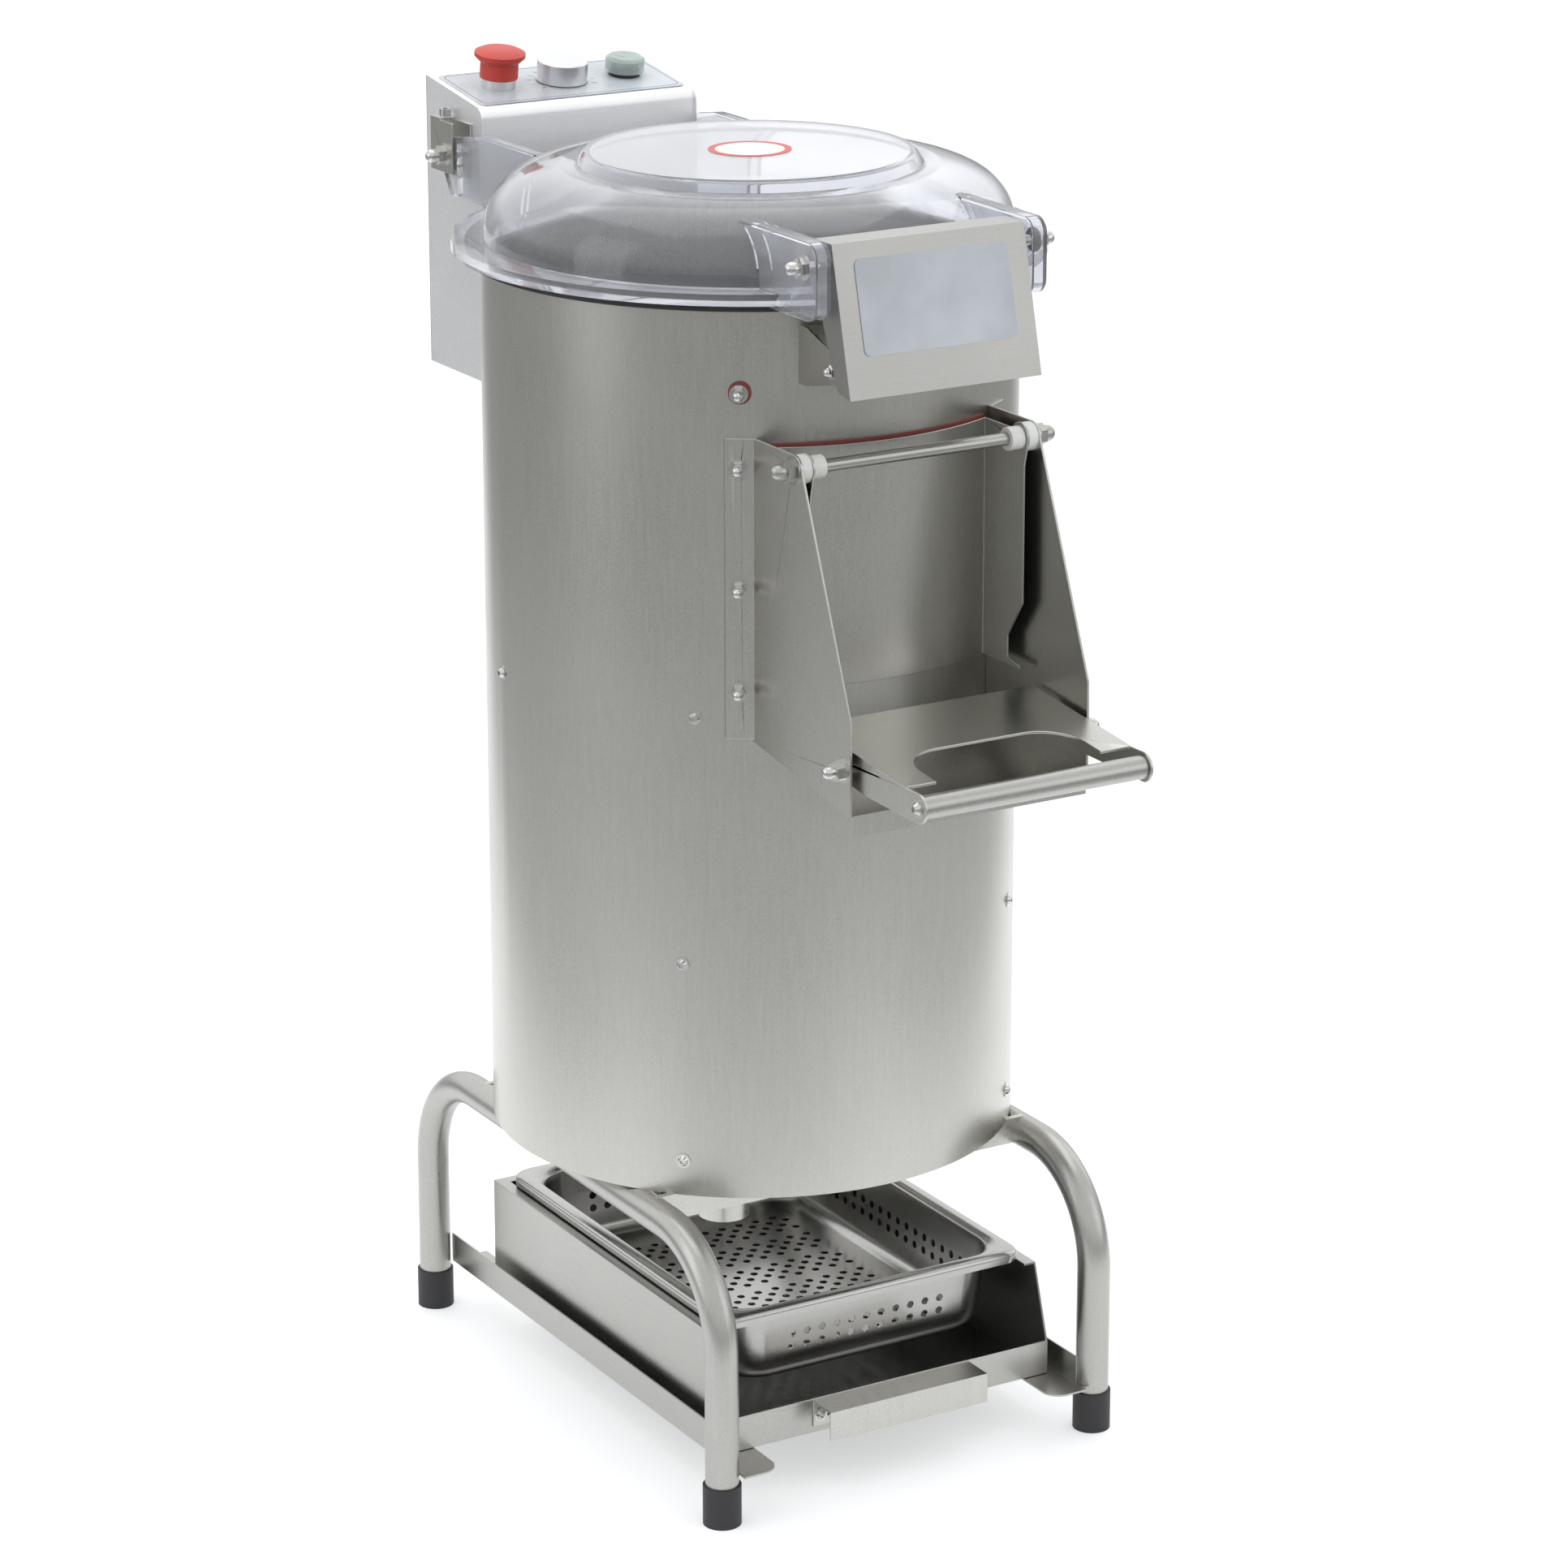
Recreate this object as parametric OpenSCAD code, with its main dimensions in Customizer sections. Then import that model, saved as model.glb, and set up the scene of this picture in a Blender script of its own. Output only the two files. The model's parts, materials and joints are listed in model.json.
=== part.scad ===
// Floor-standing abrasive vegetable peeler with a clear hinged lid,
// a lever-locked discharge door and a slide-out waste tray.
// Units are millimetres. +Z is up, the front faces -Y and the floor is Z = 0.

/* [Drum] */
// Outside diameter of the drum
drum_d = 400; // [360:1:480]
// Thickness of the drum wall
drum_wall = 1.2; // [1:0.1:2.5]
// Height of the drum's lower edge above the floor
drum_bottom_z = 220; // [200:1:280]
// Height of the drum
drum_h = 669; // [600:1:820]
// Height of the grinding chamber, from its floor to the drum's top edge
chamber_h = 313; // [290:1:340]
// Width of the flange that each inner plate is screwed to the drum by
inner_flange_h = 26; // [20:1:30]
// Thickness of the abrasive liner
liner_t = 4.3; // [2:0.1:8]
// Height of the bare steel band above the liner
liner_top_gap = 49; // [30:1:80]

/* [Stand] */
// Diameter of the stand tube
tube_d = 25; // [20:0.5:32]
// Wall of the stand tube
tube_wall = 1.5; // [1:0.1:3]
// Distance from the drum's side in to the tube centres
leg_inset = 37.5; // [25:0.5:50]
// Distance from the drum's front and rear out to the leg centres
leg_out = 31; // [20:0.5:60]
// Radius of the tube bends at their centre line
bend_r = 78; // [50:1:100]
// Outside diameter of a rubber foot
foot_d = 28.6; // [26:0.2:40]
// Height of a rubber foot
foot_h = 31; // [20:1:50]
// Height of the cross bars under the drum
beam_h = 20; // [14:1:30]
// Thickness of the cross bars
beam_t = 5; // [3:0.5:8]
// How far the cross bars stand past the points where the drum's edge crosses the tubes
beam_past = 18; // [8:0.5:24]

/* [Waste tray] */
// Gap between the tray and the stand tubes
tray_side_gap = 10; // [6:0.5:20]
// Length of the tray floor
tray_l = 373; // [330:1:420]
// Height of the tray walls
tray_h = 85; // [60:1:95]
// Height of the tray's front lip
tray_lip_h = 27; // [15:1:40]
// Thickness of folded sheet parts
sheet_t = 1.5; // [1:0.1:2]
// Width of the flange that the pan rests on
tray_flange_w = 10; // [6:0.5:14]
// Width of the pull
pull_w = 138; // [90:1:200]
// Reach of the pull in front of the tray
pull_reach = 26; // [15:1:40]
// Height of the tray floor above the ground
tray_z = 38; // [30:1:60]

/* [Strainer pan] */
// Distance from the tray's side to the pan's rim
pan_side_gap = 8; // [4:0.5:9]
// Distance from the tray's front to the pan's rim
pan_front_gap = 22; // [19:0.5:40]
// Distance from the tray's back to the pan's rim
pan_back_gap = 11; // [4:0.5:30]
// Depth of the pan below its rim
pan_depth = 65; // [40:1:80]
// Width of the rim
pan_rim_w = 13; // [8:0.5:18]
// Diameter of one drain hole
pan_hole_d = 5; // [3:0.5:7]
// Distance between drain holes in a row
pan_hole_pitch = 12.5; // [10:0.5:20]

/* [Lid] */
// How far the lid's flange stands out past the drum
lid_over = 21; // [16:0.5:30]
// Thickness of the lid's flange
lid_flange_t = 8.5; // [5:0.5:12]
// Distance from the drum's outside in to the foot of the dome
dome_inset = 3; // [0:0.5:12]
// Height of the dome's shoulder above the flange
dome_h = 52.5; // [40:0.5:80]
// Diameter of the raised centre disc
disc_top_d = 246; // [150:1:260]
// Height of the raised centre disc above the shoulder
disc_top_h = 9.5; // [3:0.5:15]
// Thickness of the lid
lid_t = 3.5; // [2:0.5:5]
// Thickness of the rim gasket
gasket_t = 6; // [4:0.5:10]
// How far the rim gasket stands out past the drum
gasket_over = 11; // [6:0.5:16]
// Thickness of the lid's two hinge arms
rear_fin_t = 9; // [7:0.5:14]
// Thickness of the fins beside the latch
fin_t = 12; // [8:0.5:14]
// Wall of the hollow arms and fins
fin_wall = 2.2; // [1.5:0.1:3]

/* [Control box] */
// Width of the control box
box_w = 190; // [160:1:200]
// Distance from the drum to the front of the control box
box_gap = 45; // [40:1:60]
// Depth of the control box
box_depth = 93; // [85:1:130]
// Height of the control box
box_h = 229; // [200:1:260]
// Slope of the control panel
panel_deg = 8.6; // [0:0.1:15]
// Radius of the panel's front bend
panel_bend_r = 10; // [4:0.5:14]
// Distance between the controls
control_pitch = 56; // [52:1:64]
// Diameter of the stop button
estop_d = 40; // [30:1:42]
// Diameter of the timer knob
timer_d = 40; // [30:1:42]
// Height of the timer knob
timer_h = 17; // [12:1:25]
// Diameter of the start button's cap
start_d = 31; // [24:1:36]

/* [Chute] */
// Outside width of the chute
chute_w = 200; // [180:1:206]
// Height of the discharge opening
opening_h = 168; // [130:1:172]
// How far the chute reaches in front of the drum
chute_reach = 107; // [90:1:130]
// Height of the chute's straight front edge
chute_front_h = 69; // [50:1:90]
// Diameter of the door rod
rod_d = 9.5; // [8:0.5:12]
// Distance from the drum to the door rod
rod_gap = 30; // [25:1:40]
// Gap between the chute plates and the door
door_side_gap = 8; // [6:0.5:12]
// Diameter of the lever's handle tube
handle_d = 17; // [14:0.5:22]
// Distance from the drum to the handle tube
handle_reach = 185.5; // [170:0.5:210]
// Distance from the drum to the lever's pivot
pivot_reach = 96; // [85:1:100]
// Distance from the drum to the rear edge of the lever
lever_rear_gap = 43; // [38:1:50]
// Slope of the lever plate
lever_deg = 5.6; // [4:0.2:8]

/* [Latch] */
// Width of the latch housing
latch_w = 158; // [140:1:162]
// Height of the latch housing
latch_h = 109; // [90:1:120]
// Slope of the latch housing's face
latch_deg = 13.6; // [8:0.1:18]

/* [Drive] */
// Diameter of the disc shaft
shaft_d = 25; // [20:1:30]
// Diameter of the large pulley
pulley_d = 160; // [140:1:170]
// Diameter of the motor pulley
motor_pulley_d = 56; // [50:1:66]
// Distance between the two shafts
shaft_span = 118; // [114:1:122]
// Diameter of the motor
motor_d = 136; // [110:1:140]
// Thickness of the abrasive disc
disc_t = 14; // [8:1:18]
// Gap between the abrasive disc and the liner
disc_gap = 4.5; // [2:0.5:8]
// Diameter of the drain pipe
drain_d = 40; // [30:1:45]

/* [Hidden] */
$fn = 96;

// Clearances
run_gap = 0.05;
slide_gap = 0.3;
cut = 1;

// Colours
steel = [0.66, 0.65, 0.62];
bright = [0.80, 0.80, 0.80];
black = [0.10, 0.10, 0.11];
clear = [0.80, 0.83, 0.92, 0.45];
nylon = [0.93, 0.93, 0.90];

// Drum
drum_r = drum_d / 2;
drum_in_r = drum_r - drum_wall;
drum_top_z = drum_bottom_z + drum_h;
floor_z = drum_top_z - chamber_h - 2;
floor_t = 2;
flange_t = 2;
liner_r = drum_in_r - liner_t;
screw_top_z = floor_z + 14;
motor_plate_z = drum_bottom_z + 184;
screw_mid_z = motor_plate_z - 4;
screw_low_z = drum_bottom_z + 27;
top_screw_deg = [-152, -97, -42, 42, 97, 152];
low_screw_deg = [-135, -45, 45, 135];
shell_screw_r = 2.5;
chute_bolt_r = 2.5;
inlet_deg = 125;
inlet_r = 10;
inlet_l = 34;
hole_gap = 0.1;

// Stand
tube_r = tube_d / 2;
leg_x = drum_r - leg_inset;
tube_z = drum_bottom_z - tube_r;
foot_sole = 4;
leg_shift = 2.5;
leg_front_y = -drum_r - leg_out - leg_shift;
leg_rear_y = drum_r + leg_out - leg_shift;
beam_y = sqrt(drum_r * drum_r - leg_x * leg_x) + beam_past;

// Tray and pan
rail_t = sheet_t;
rail_x = leg_x - tube_r;
rail_top_h = 22;
rail_shelf_w = 31;
rail_z = tray_z - slide_gap - rail_t;
rail_front_y = leg_front_y - 12;
rail_rear_y = leg_rear_y - 6;
tray_w = 2 * (leg_x - tube_r - tray_side_gap);
tray_front_y = leg_front_y + 27.5;
tray_back_y = tray_front_y + tray_l;
tray_top_z = tray_z + tray_h;
tray_slope = 18;
pan_rim_h = 10;
pan_top_z = tray_top_z + pan_rim_h;
pan_w = tray_w - 2 * pan_side_gap;
pan_l = tray_l - pan_front_gap - pan_back_gap;
pan_front_y = tray_front_y + pan_front_gap;
pan_corner_r = 26;
pan_wall_t = 1;
pan_bottom_z = pan_top_z - pan_depth;

// Lid
gasket_top_z = drum_top_z + gasket_t;
lid_z = gasket_top_z + slide_gap;
lid_top_z = lid_z + lid_flange_t;
lid_r = drum_r + lid_over;
gasket_r = drum_r + gasket_over;
dome_r = drum_r - dome_inset;
disc_top_r = disc_top_d / 2;
step_r = disc_top_r + 8;
dome_power = 0.8;
dome_steps = 14;
fin_z0 = lid_z - 3;
fin_z1 = lid_top_z + 46;
front_fin_z1 = lid_top_z + 44;
front_fin_x = latch_w / 2 + 4;
bracket_t = 2;
rear_fin_x = box_w / 2 + bracket_t + 0.5;
bracket_out_x = rear_fin_x + rear_fin_t + 0.5;
box_front = drum_r + box_gap;
box_back = box_front + box_depth;
hinge_y = box_front + 38;
hinge_z = lid_top_z + 23;
hinge_r = 4;
boss_r = 13;
latch_pin_y = -drum_r - 37;
latch_pin_z = lid_top_z + 26;
pin_r = 4;

// Control box
box_t = 1.2;
box_inset = 2;
box_bottom_z = drum_top_z + 91 - box_h;
box_shoulder_z = drum_top_z - 5;
panel_back_z = drum_top_z + 91;
panel_front_z = panel_back_z - (box_back - box_front) * tan(panel_deg);
control_y = box_front + 47;
control_z = panel_front_z + (control_y - box_front) * tan(panel_deg);
overlay_t = 0.8;
overlay_d = 78;
stop_collar_r = 13.5;
start_ring_r = 12.5;
gland_r = 9;

// Chute
chute_x = chute_w / 2;
chute_t = 2;
chute_front = drum_r + chute_reach;
opening_z0 = floor_z + inner_flange_h + 16;
opening_z1 = opening_z0 + opening_h;
chute_top_z = opening_z1 + 12;
chute_low_z = floor_z - 23;
rod_r = rod_d / 2;
rod_y = drum_r + rod_gap;
rod_z = chute_top_z - 11;
ear_r = 11;
flange_w = 17;
chute_back_y = -drum_r * cos(asin(chute_x / drum_r));
gasket_open_t = 2;
gasket_open_w = 8;
door_t = 1.5;
door_r = drum_r + gasket_open_t + 1;
door_x = chute_x - chute_t - door_side_gap;
opening_w = 2 * (door_x - gasket_open_w);
door_top_z = rod_z + 5;
door_bottom_z = opening_z0 - 3.5;
door_front_y = -rod_y - 6;
bush_r = 8.5;
bush_l = 11;
washer_r = 10.5;
handle_r = handle_d / 2;
handle_y = drum_r + handle_reach;
pivot_y = drum_r + pivot_reach;
lever_rear_y = drum_r + lever_rear_gap;
lever_x = chute_x - chute_t - 4;
lever_t = 2;
lever_rear_z = door_bottom_z - 10;
pivot_z = lever_rear_z - 19;
handle_z = pivot_z - 4;
lever_front_y = -handle_y + 17;
notch_half_w = lever_x - 26;
notch_depth = 51.5;
notch_r = 32;

// Latch
latch_x = latch_w / 2;
latch_t = 1.5;
latch_depth = 20;
latch_top_y = -drum_r - 46;
latch_top_z = lid_top_z + 42;

// Drive
shaft_r = shaft_d / 2;
disc_z = floor_z + 9;
disc_r = liner_r - disc_gap;
pulley_r = pulley_d / 2;
motor_pulley_r = motor_pulley_d / 2;
pulley_h = 20;
pulley_z = motor_plate_z + 20;
belt_gap = 0.5;
belt_h = 12;
groove_depth = 10;
motor_deg = 44;
motor_x = shaft_span * cos(motor_deg);
motor_y = shaft_span * sin(motor_deg);
motor_shaft_r = 9;
drain_x = -88;
drain_y = -108;
drain_r = drain_d / 2;
drain_bottom_z = drum_bottom_z - 37;
drain_tail_h = 28;
drain_tail_r = drain_r - 0.5;
housing_r = 32;

// The drum's axis sits here, so that the whole machine is centred on Y = 0.
front_reach = handle_y + ear_r;
rear_reach = box_back + box_t;
drum_y = (front_reach - rear_reach) / 2;

module place() { translate([0, drum_y, 0]) children(); }

// Puts children on the drum's side, their +Z pointing straight out.
module on_drum(deg, z, r = drum_r) {
    rotate([0, 0, deg]) translate([0, -r, z]) rotate([90, 0, 0]) children();
}

// A cylinder along X, from x0 to x1.
module rod_x(r, x0, x1, y, z) {
    translate([x0, y, z]) rotate([0, 90, 0]) cylinder(r = r, h = x1 - x0);
}

// Extrudes an outline drawn in (Y, Z) along X, from x0 to x1.
module plate_x(x0, x1) {
    translate([x0, 0, 0]) rotate([90, 0, 90]) linear_extrude(x1 - x0) children();
}

module ring(r_out, r_in, z0, z1) {
    translate([0, 0, z0]) difference() {
        cylinder(r = r_out, h = z1 - z0);
        translate([0, 0, -cut]) cylinder(r = r_in, h = z1 - z0 + 2 * cut);
    }
}

// Domed hexagon nut with a washer. Its seat is at Z = 0.
module acorn_nut(r) {
    cylinder(r = r * 1.35, h = 1.2);
    translate([0, 0, 1.2]) cylinder(r = r * 1.12, h = r * 0.9, $fn = 6);
    translate([0, 0, 1.2 + r * 0.9]) cylinder(r = r * 0.8, h = r * 0.5);
    translate([0, 0, 1.2 + r * 1.4]) intersection() {
        sphere(r = r * 0.8);
        cylinder(r = r, h = r);
    }
}

// Round screw head with a washer and a hexagon socket, and a shank below Z = 0.
module button_screw(head_r, shank_r, shank_l) {
    translate([0, 0, -shank_l]) cylinder(r = shank_r, h = shank_l);
    cylinder(r = head_r * 1.35, h = 0.8);
    difference() {
        translate([0, 0, 0.8]) cylinder(r1 = head_r, r2 = head_r * 0.6, h = head_r * 0.6);
        translate([0, 0, 0.8 + head_r * 0.25]) cylinder(r = head_r * 0.45, h = head_r, $fn = 6);
    }
}

// ---- Stand ----

// The stand tube's path, as a solid of radius r that starts at height z0.
module frame_path(r, z0) {
    bend_z = tube_z - bend_r;
    for (y = [leg_front_y, leg_rear_y]) translate([0, y, z0]) cylinder(r = r, h = bend_z - z0);
    translate([0, leg_front_y + bend_r, bend_z]) rotate([90, 0, -90])
        rotate_extrude(angle = 90) translate([bend_r, 0]) circle(r);
    translate([0, leg_rear_y - bend_r, bend_z]) rotate([90, 0, 90])
        rotate_extrude(angle = 90) translate([bend_r, 0]) circle(r);
    translate([0, leg_rear_y - bend_r, tube_z]) rotate([90, 0, 0])
        cylinder(r = r, h = leg_rear_y - leg_front_y - 2 * bend_r);
}

module leg_frame(side) {
    color(steel) place() translate([side * leg_x, 0, 0]) difference() {
        frame_path(tube_r, foot_sole);
        frame_path(tube_r - tube_wall, foot_sole - cut);
    }
}
module left_leg_frame() { leg_frame(-1); }
module right_leg_frame() { leg_frame(1); }

// Flat bar on edge, coped to the round tubes at both ends.
module cross_beam(y) {
    color(steel) place() difference() {
        translate([-leg_x, y - beam_t / 2, drum_bottom_z - beam_h]) cube([2 * leg_x, beam_t, beam_h]);
        for (side = [-1, 1]) translate([side * leg_x, y - beam_t, tube_z]) rotate([-90, 0, 0])
            cylinder(r = tube_r, h = 2 * beam_t);
    }
}
module front_cross_beam() { cross_beam(-beam_y); }
module rear_cross_beam() { cross_beam(beam_y); }

module rubber_feet() {
    color(black) place() for (side = [-1, 1], y = [leg_front_y, leg_rear_y])
        translate([side * leg_x, y, 0]) difference() {
            cylinder(r = foot_d / 2, h = foot_h);
            translate([0, 0, foot_sole]) cylinder(r = tube_r, h = foot_h);
        }
}

// Folded angle: a wall against the legs and a shelf under the tray with one round corner.
module tray_rail(side) {
    shelf_x = rail_x - rail_shelf_w;
    tip_r = 14;
    color(steel) place() scale([side, 1, 1]) {
        translate([rail_x - rail_t, leg_front_y + 1, rail_z])
            cube([rail_t, rail_rear_y - leg_front_y - 1, rail_top_h + rail_t]);
        translate([0, 0, rail_z]) linear_extrude(rail_t) union() {
            translate([shelf_x, rail_front_y + tip_r])
                square([rail_shelf_w, rail_rear_y - rail_front_y - tip_r]);
            translate([shelf_x + tip_r, rail_front_y]) square([rail_shelf_w - tip_r, tip_r]);
            translate([shelf_x + tip_r, rail_front_y + tip_r]) circle(tip_r);
        }
    }
}
module left_tray_rail() { tray_rail(-1); }
module right_tray_rail() { tray_rail(1); }

// ---- Drum ----

module shell_screw_places() {
    for (a = top_screw_deg) on_drum(a, screw_top_z) children();
    for (a = low_screw_deg) {
        on_drum(a, screw_mid_z) children();
        on_drum(a, screw_low_z) children();
    }
}

module shell_screw_holes() {
    shell_screw_places() translate([0, 0, -12])
        cylinder(r = shell_screw_r + hole_gap, h = 24, $fn = 24);
}

module shell_screws() {
    color(bright) place() shell_screw_places() button_screw(4, shell_screw_r, 6);
}

// The discharge opening, as a solid that cuts the front of the drum.
module opening_cut() {
    translate([-opening_w / 2, -drum_r - 20, opening_z0]) cube([opening_w, drum_r, opening_h]);
}

module drain_cut(gap = slide_gap) {
    translate([drain_x, drain_y, 0]) cylinder(r = drain_r + gap, h = floor_z + 20);
}

module drum_shell() {
    color(steel) place() difference() {
        ring(drum_r, drum_in_r, drum_bottom_z, drum_top_z);
        opening_cut();
        shell_screw_holes();
        water_bore(inlet_r + hole_gap);
        chute_bolt_places() translate([0, 0, -12])
            cylinder(r = chute_bolt_r + hole_gap, h = 24, $fn = 24);
        box_bolt_places() rotate([-90, 0, 0])
            cylinder(r = chute_bolt_r, h = 30, center = true, $fn = 24);
    }
}

module rim_gasket() {
    color(black) place() ring(gasket_r, drum_r - 12, drum_top_z, gasket_top_z);
}

module abrasive_liner() {
    color([0.16, 0.16, 0.17]) place() difference() {
        ring(drum_in_r, liner_r, floor_z + floor_t + inner_flange_h, drum_top_z - liner_top_gap);
        opening_cut();
        water_bore(inlet_r + hole_gap);
    }
}

module chamber_floor() {
    color(steel) place() difference() {
        union() {
            translate([0, 0, floor_z]) cylinder(r = drum_in_r, h = floor_t);
            ring(drum_in_r, drum_in_r - flange_t, floor_z + floor_t, floor_z + floor_t + inner_flange_h);
        }
        translate([0, 0, floor_z - cut]) cylinder(r = housing_r, h = floor_t + 2 * cut);
        drain_cut(0);
        shell_screw_holes();
    }
}

module bottom_cover() {
    vent_w = 5;
    color(steel) place() difference() {
        union() {
            translate([0, 0, drum_bottom_z]) cylinder(r = drum_in_r, h = floor_t);
            ring(drum_in_r, drum_in_r - flange_t, drum_bottom_z + floor_t, drum_bottom_z + 36);
        }
        drain_cut();
        shell_screw_holes();
        for (i = [-4 : 4]) translate([20 + i * 3 * vent_w, 20, drum_bottom_z - cut])
            cube([vent_w, 80, floor_t + 2 * cut]);
    }
}

module drain_pipe() {
    pipe_l = floor_z + floor_t - drain_bottom_z;
    color(steel) place() translate([drain_x, drain_y, drain_bottom_z]) difference() {
        union() {
            translate([0, 0, drain_tail_h]) cylinder(r = drain_r, h = pipe_l - drain_tail_h);
            cylinder(r = drain_tail_r, h = drain_tail_h);
        }
        translate([0, 0, -cut]) cylinder(r = drain_tail_r - sheet_t, h = pipe_l + 2 * cut);
    }
}

module water_bore(r) {
    on_drum(inlet_deg, drum_top_z - 40) translate([0, 0, -12]) cylinder(r = r, h = 40);
}
module water_inlet() {
    color(bright) place() difference() {
        on_drum(inlet_deg, drum_top_z - 40) {
            translate([0, 0, -8]) cylinder(r = inlet_r, h = 8 + inlet_l);
            cylinder(r = inlet_r + 6, h = 4);
        }
        on_drum(inlet_deg, drum_top_z - 40) translate([0, 0, -20])
            cylinder(r = inlet_r - 3, h = inlet_l + 40);
    }
}

// Flat seal between the drum and the discharge door.
module opening_gasket() {
    color([0.35, 0.10, 0.09]) place() difference() {
        ring(drum_r + gasket_open_t, drum_r, door_bottom_z, opening_z1 + gasket_open_w);
        translate([-drum_d, -drum_r / 2, 0]) cube([2 * drum_d, 2 * drum_d, 2 * drum_top_z]);
        for (side = [-1, 1]) translate([side * (door_x + drum_r / 2), -drum_r, drum_top_z / 2])
            cube([drum_r, 2 * drum_r, 2 * drum_top_z], center = true);
        opening_cut();
    }
}

// ---- Drive ----

module abrasive_disc() {
    wave_r = 40;
    color([0.20, 0.20, 0.21]) place() difference() {
        union() {
            translate([0, 0, disc_z]) cylinder(r = disc_r, h = disc_t);
            intersection() {
                translate([0, 0, disc_z]) cylinder(r = disc_r, h = disc_t + 12);
                for (a = [0, 120, 240]) rotate([0, 0, a]) translate([0, 0, disc_z + disc_t + 9 - wave_r])
                    rotate([0, 90, 0]) cylinder(r = wave_r, h = disc_r + 5);
            }
        }
        translate([0, 0, disc_z - cut]) cylinder(r = shaft_r, h = disc_t + 2);
        translate([0, 0, disc_z - 60]) cylinder(r = disc_r + 5, h = 60);
    }
}

module disc_shaft() {
    shaft_z = pulley_z - 10;
    color(bright) place() translate([0, 0, shaft_z]) cylinder(r = shaft_r, h = disc_z + disc_t - shaft_z);
}

module bearing_housing() {
    color([0.45, 0.46, 0.47]) place() difference() {
        union() {
            translate([0, 0, pulley_z + pulley_h + 6])
                cylinder(r = housing_r, h = disc_z - 2 - (pulley_z + pulley_h + 6));
            translate([0, 0, floor_z - 7]) cylinder(r = 62, h = 7);
            for (a = [0 : 60 : 300]) rotate([0, 0, a]) translate([0, -3, floor_z - 60]) cube([55, 6, 55]);
        }
        cylinder(r = shaft_r + run_gap, h = drum_top_z);
    }
}

// Grooved pulley with its lower face at Z = 0.
module pulley(r, bore) {
    belt_mid = pulley_h / 2;
    half = belt_h / 2 + belt_gap;
    difference() {
        cylinder(r = r, h = pulley_h);
        translate([0, 0, belt_mid - half]) difference() {
            cylinder(r = r + 5, h = 2 * half);
            translate([0, 0, -cut]) cylinder(r = r - groove_depth, h = 2 * half + 2 * cut);
        }
        translate([0, 0, -cut]) cylinder(r = bore, h = pulley_h + 2 * cut);
    }
}

module disc_pulley() {
    color([0.35, 0.36, 0.38]) place() difference() {
        translate([0, 0, pulley_z]) pulley(pulley_r, shaft_r);
        for (a = [0 : 60 : 300]) rotate([0, 0, a]) translate([45, 0, pulley_z - cut])
            cylinder(r = 13, h = pulley_h + 2 * cut);
    }
}

// Outline round two circles, as wide as an open belt.
module belt_outline(r1, r2) {
    lean = asin((r1 - r2) / shaft_span);
    u = [sin(lean), cos(lean)];
    circle(r1);
    translate([shaft_span, 0]) circle(r2);
    polygon([[r1 * u[0], r1 * u[1]], [shaft_span + r2 * u[0], r2 * u[1]],
             [shaft_span + r2 * u[0], -r2 * u[1]], [r1 * u[0], -r1 * u[1]]]);
}

module drive_belt() {
    belt_in = groove_depth - belt_gap;
    belt_out = 1;
    color(black) place() rotate([0, 0, motor_deg]) translate([0, 0, pulley_z + (pulley_h - belt_h) / 2])
        linear_extrude(belt_h) difference() {
            belt_outline(pulley_r - belt_out, motor_pulley_r - belt_out);
            belt_outline(pulley_r - belt_in, motor_pulley_r - belt_in);
        }
}

module motor_pulley() {
    color([0.35, 0.36, 0.38]) place() translate([motor_x, motor_y, 0]) {
        translate([0, 0, pulley_z]) pulley(motor_pulley_r, motor_shaft_r);
        translate([0, 0, motor_plate_z - 8])
            cylinder(r = motor_shaft_r, h = pulley_z + pulley_h - motor_plate_z + 12);
    }
}

module motor_body() {
    fins = 24;
    cap_h = 30;
    flange_h = 6;
    motor_h = motor_plate_z - drum_bottom_z - 16;
    color([0.30, 0.34, 0.38]) place() translate([motor_x, motor_y, drum_bottom_z + 16]) difference() {
        union() {
            translate([0, 0, cap_h]) cylinder(r = motor_d / 2 - 6, h = motor_h - flange_h - cap_h);
            cylinder(r = motor_d / 2 - 3, h = cap_h);
            translate([0, 0, motor_h - flange_h]) cylinder(r = motor_d / 2 - 4, h = flange_h);
            for (i = [0 : fins - 1]) rotate([0, 0, i * 360 / fins]) translate([0, -1, cap_h + 4])
                cube([motor_d / 2, 2, motor_h - flange_h - cap_h - 10]);
        }
        translate([0, 0, motor_h - 20]) cylinder(r = motor_shaft_r + run_gap, h = 40);
    }
}

module motor_plate() {
    plate_t = 3;
    color(steel) place() difference() {
        union() {
            translate([0, 0, motor_plate_z]) cylinder(r = drum_in_r, h = plate_t);
            ring(drum_in_r, drum_in_r - flange_t, motor_plate_z - 18, motor_plate_z);
        }
        translate([motor_x, motor_y, motor_plate_z - cut]) cylinder(r = 30, h = plate_t + 2 * cut);
        translate([0, 0, motor_plate_z - cut]) cylinder(r = shaft_r + 8, h = plate_t + 2 * cut);
        translate([-70, 75, motor_plate_z - cut]) cylinder(r = 55, h = plate_t + 2 * cut);
        translate([75, -85, motor_plate_z - cut]) cylinder(r = 50, h = plate_t + 2 * cut);
        drain_cut();
        shell_screw_holes();
    }
}

// ---- Control box ----

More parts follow.
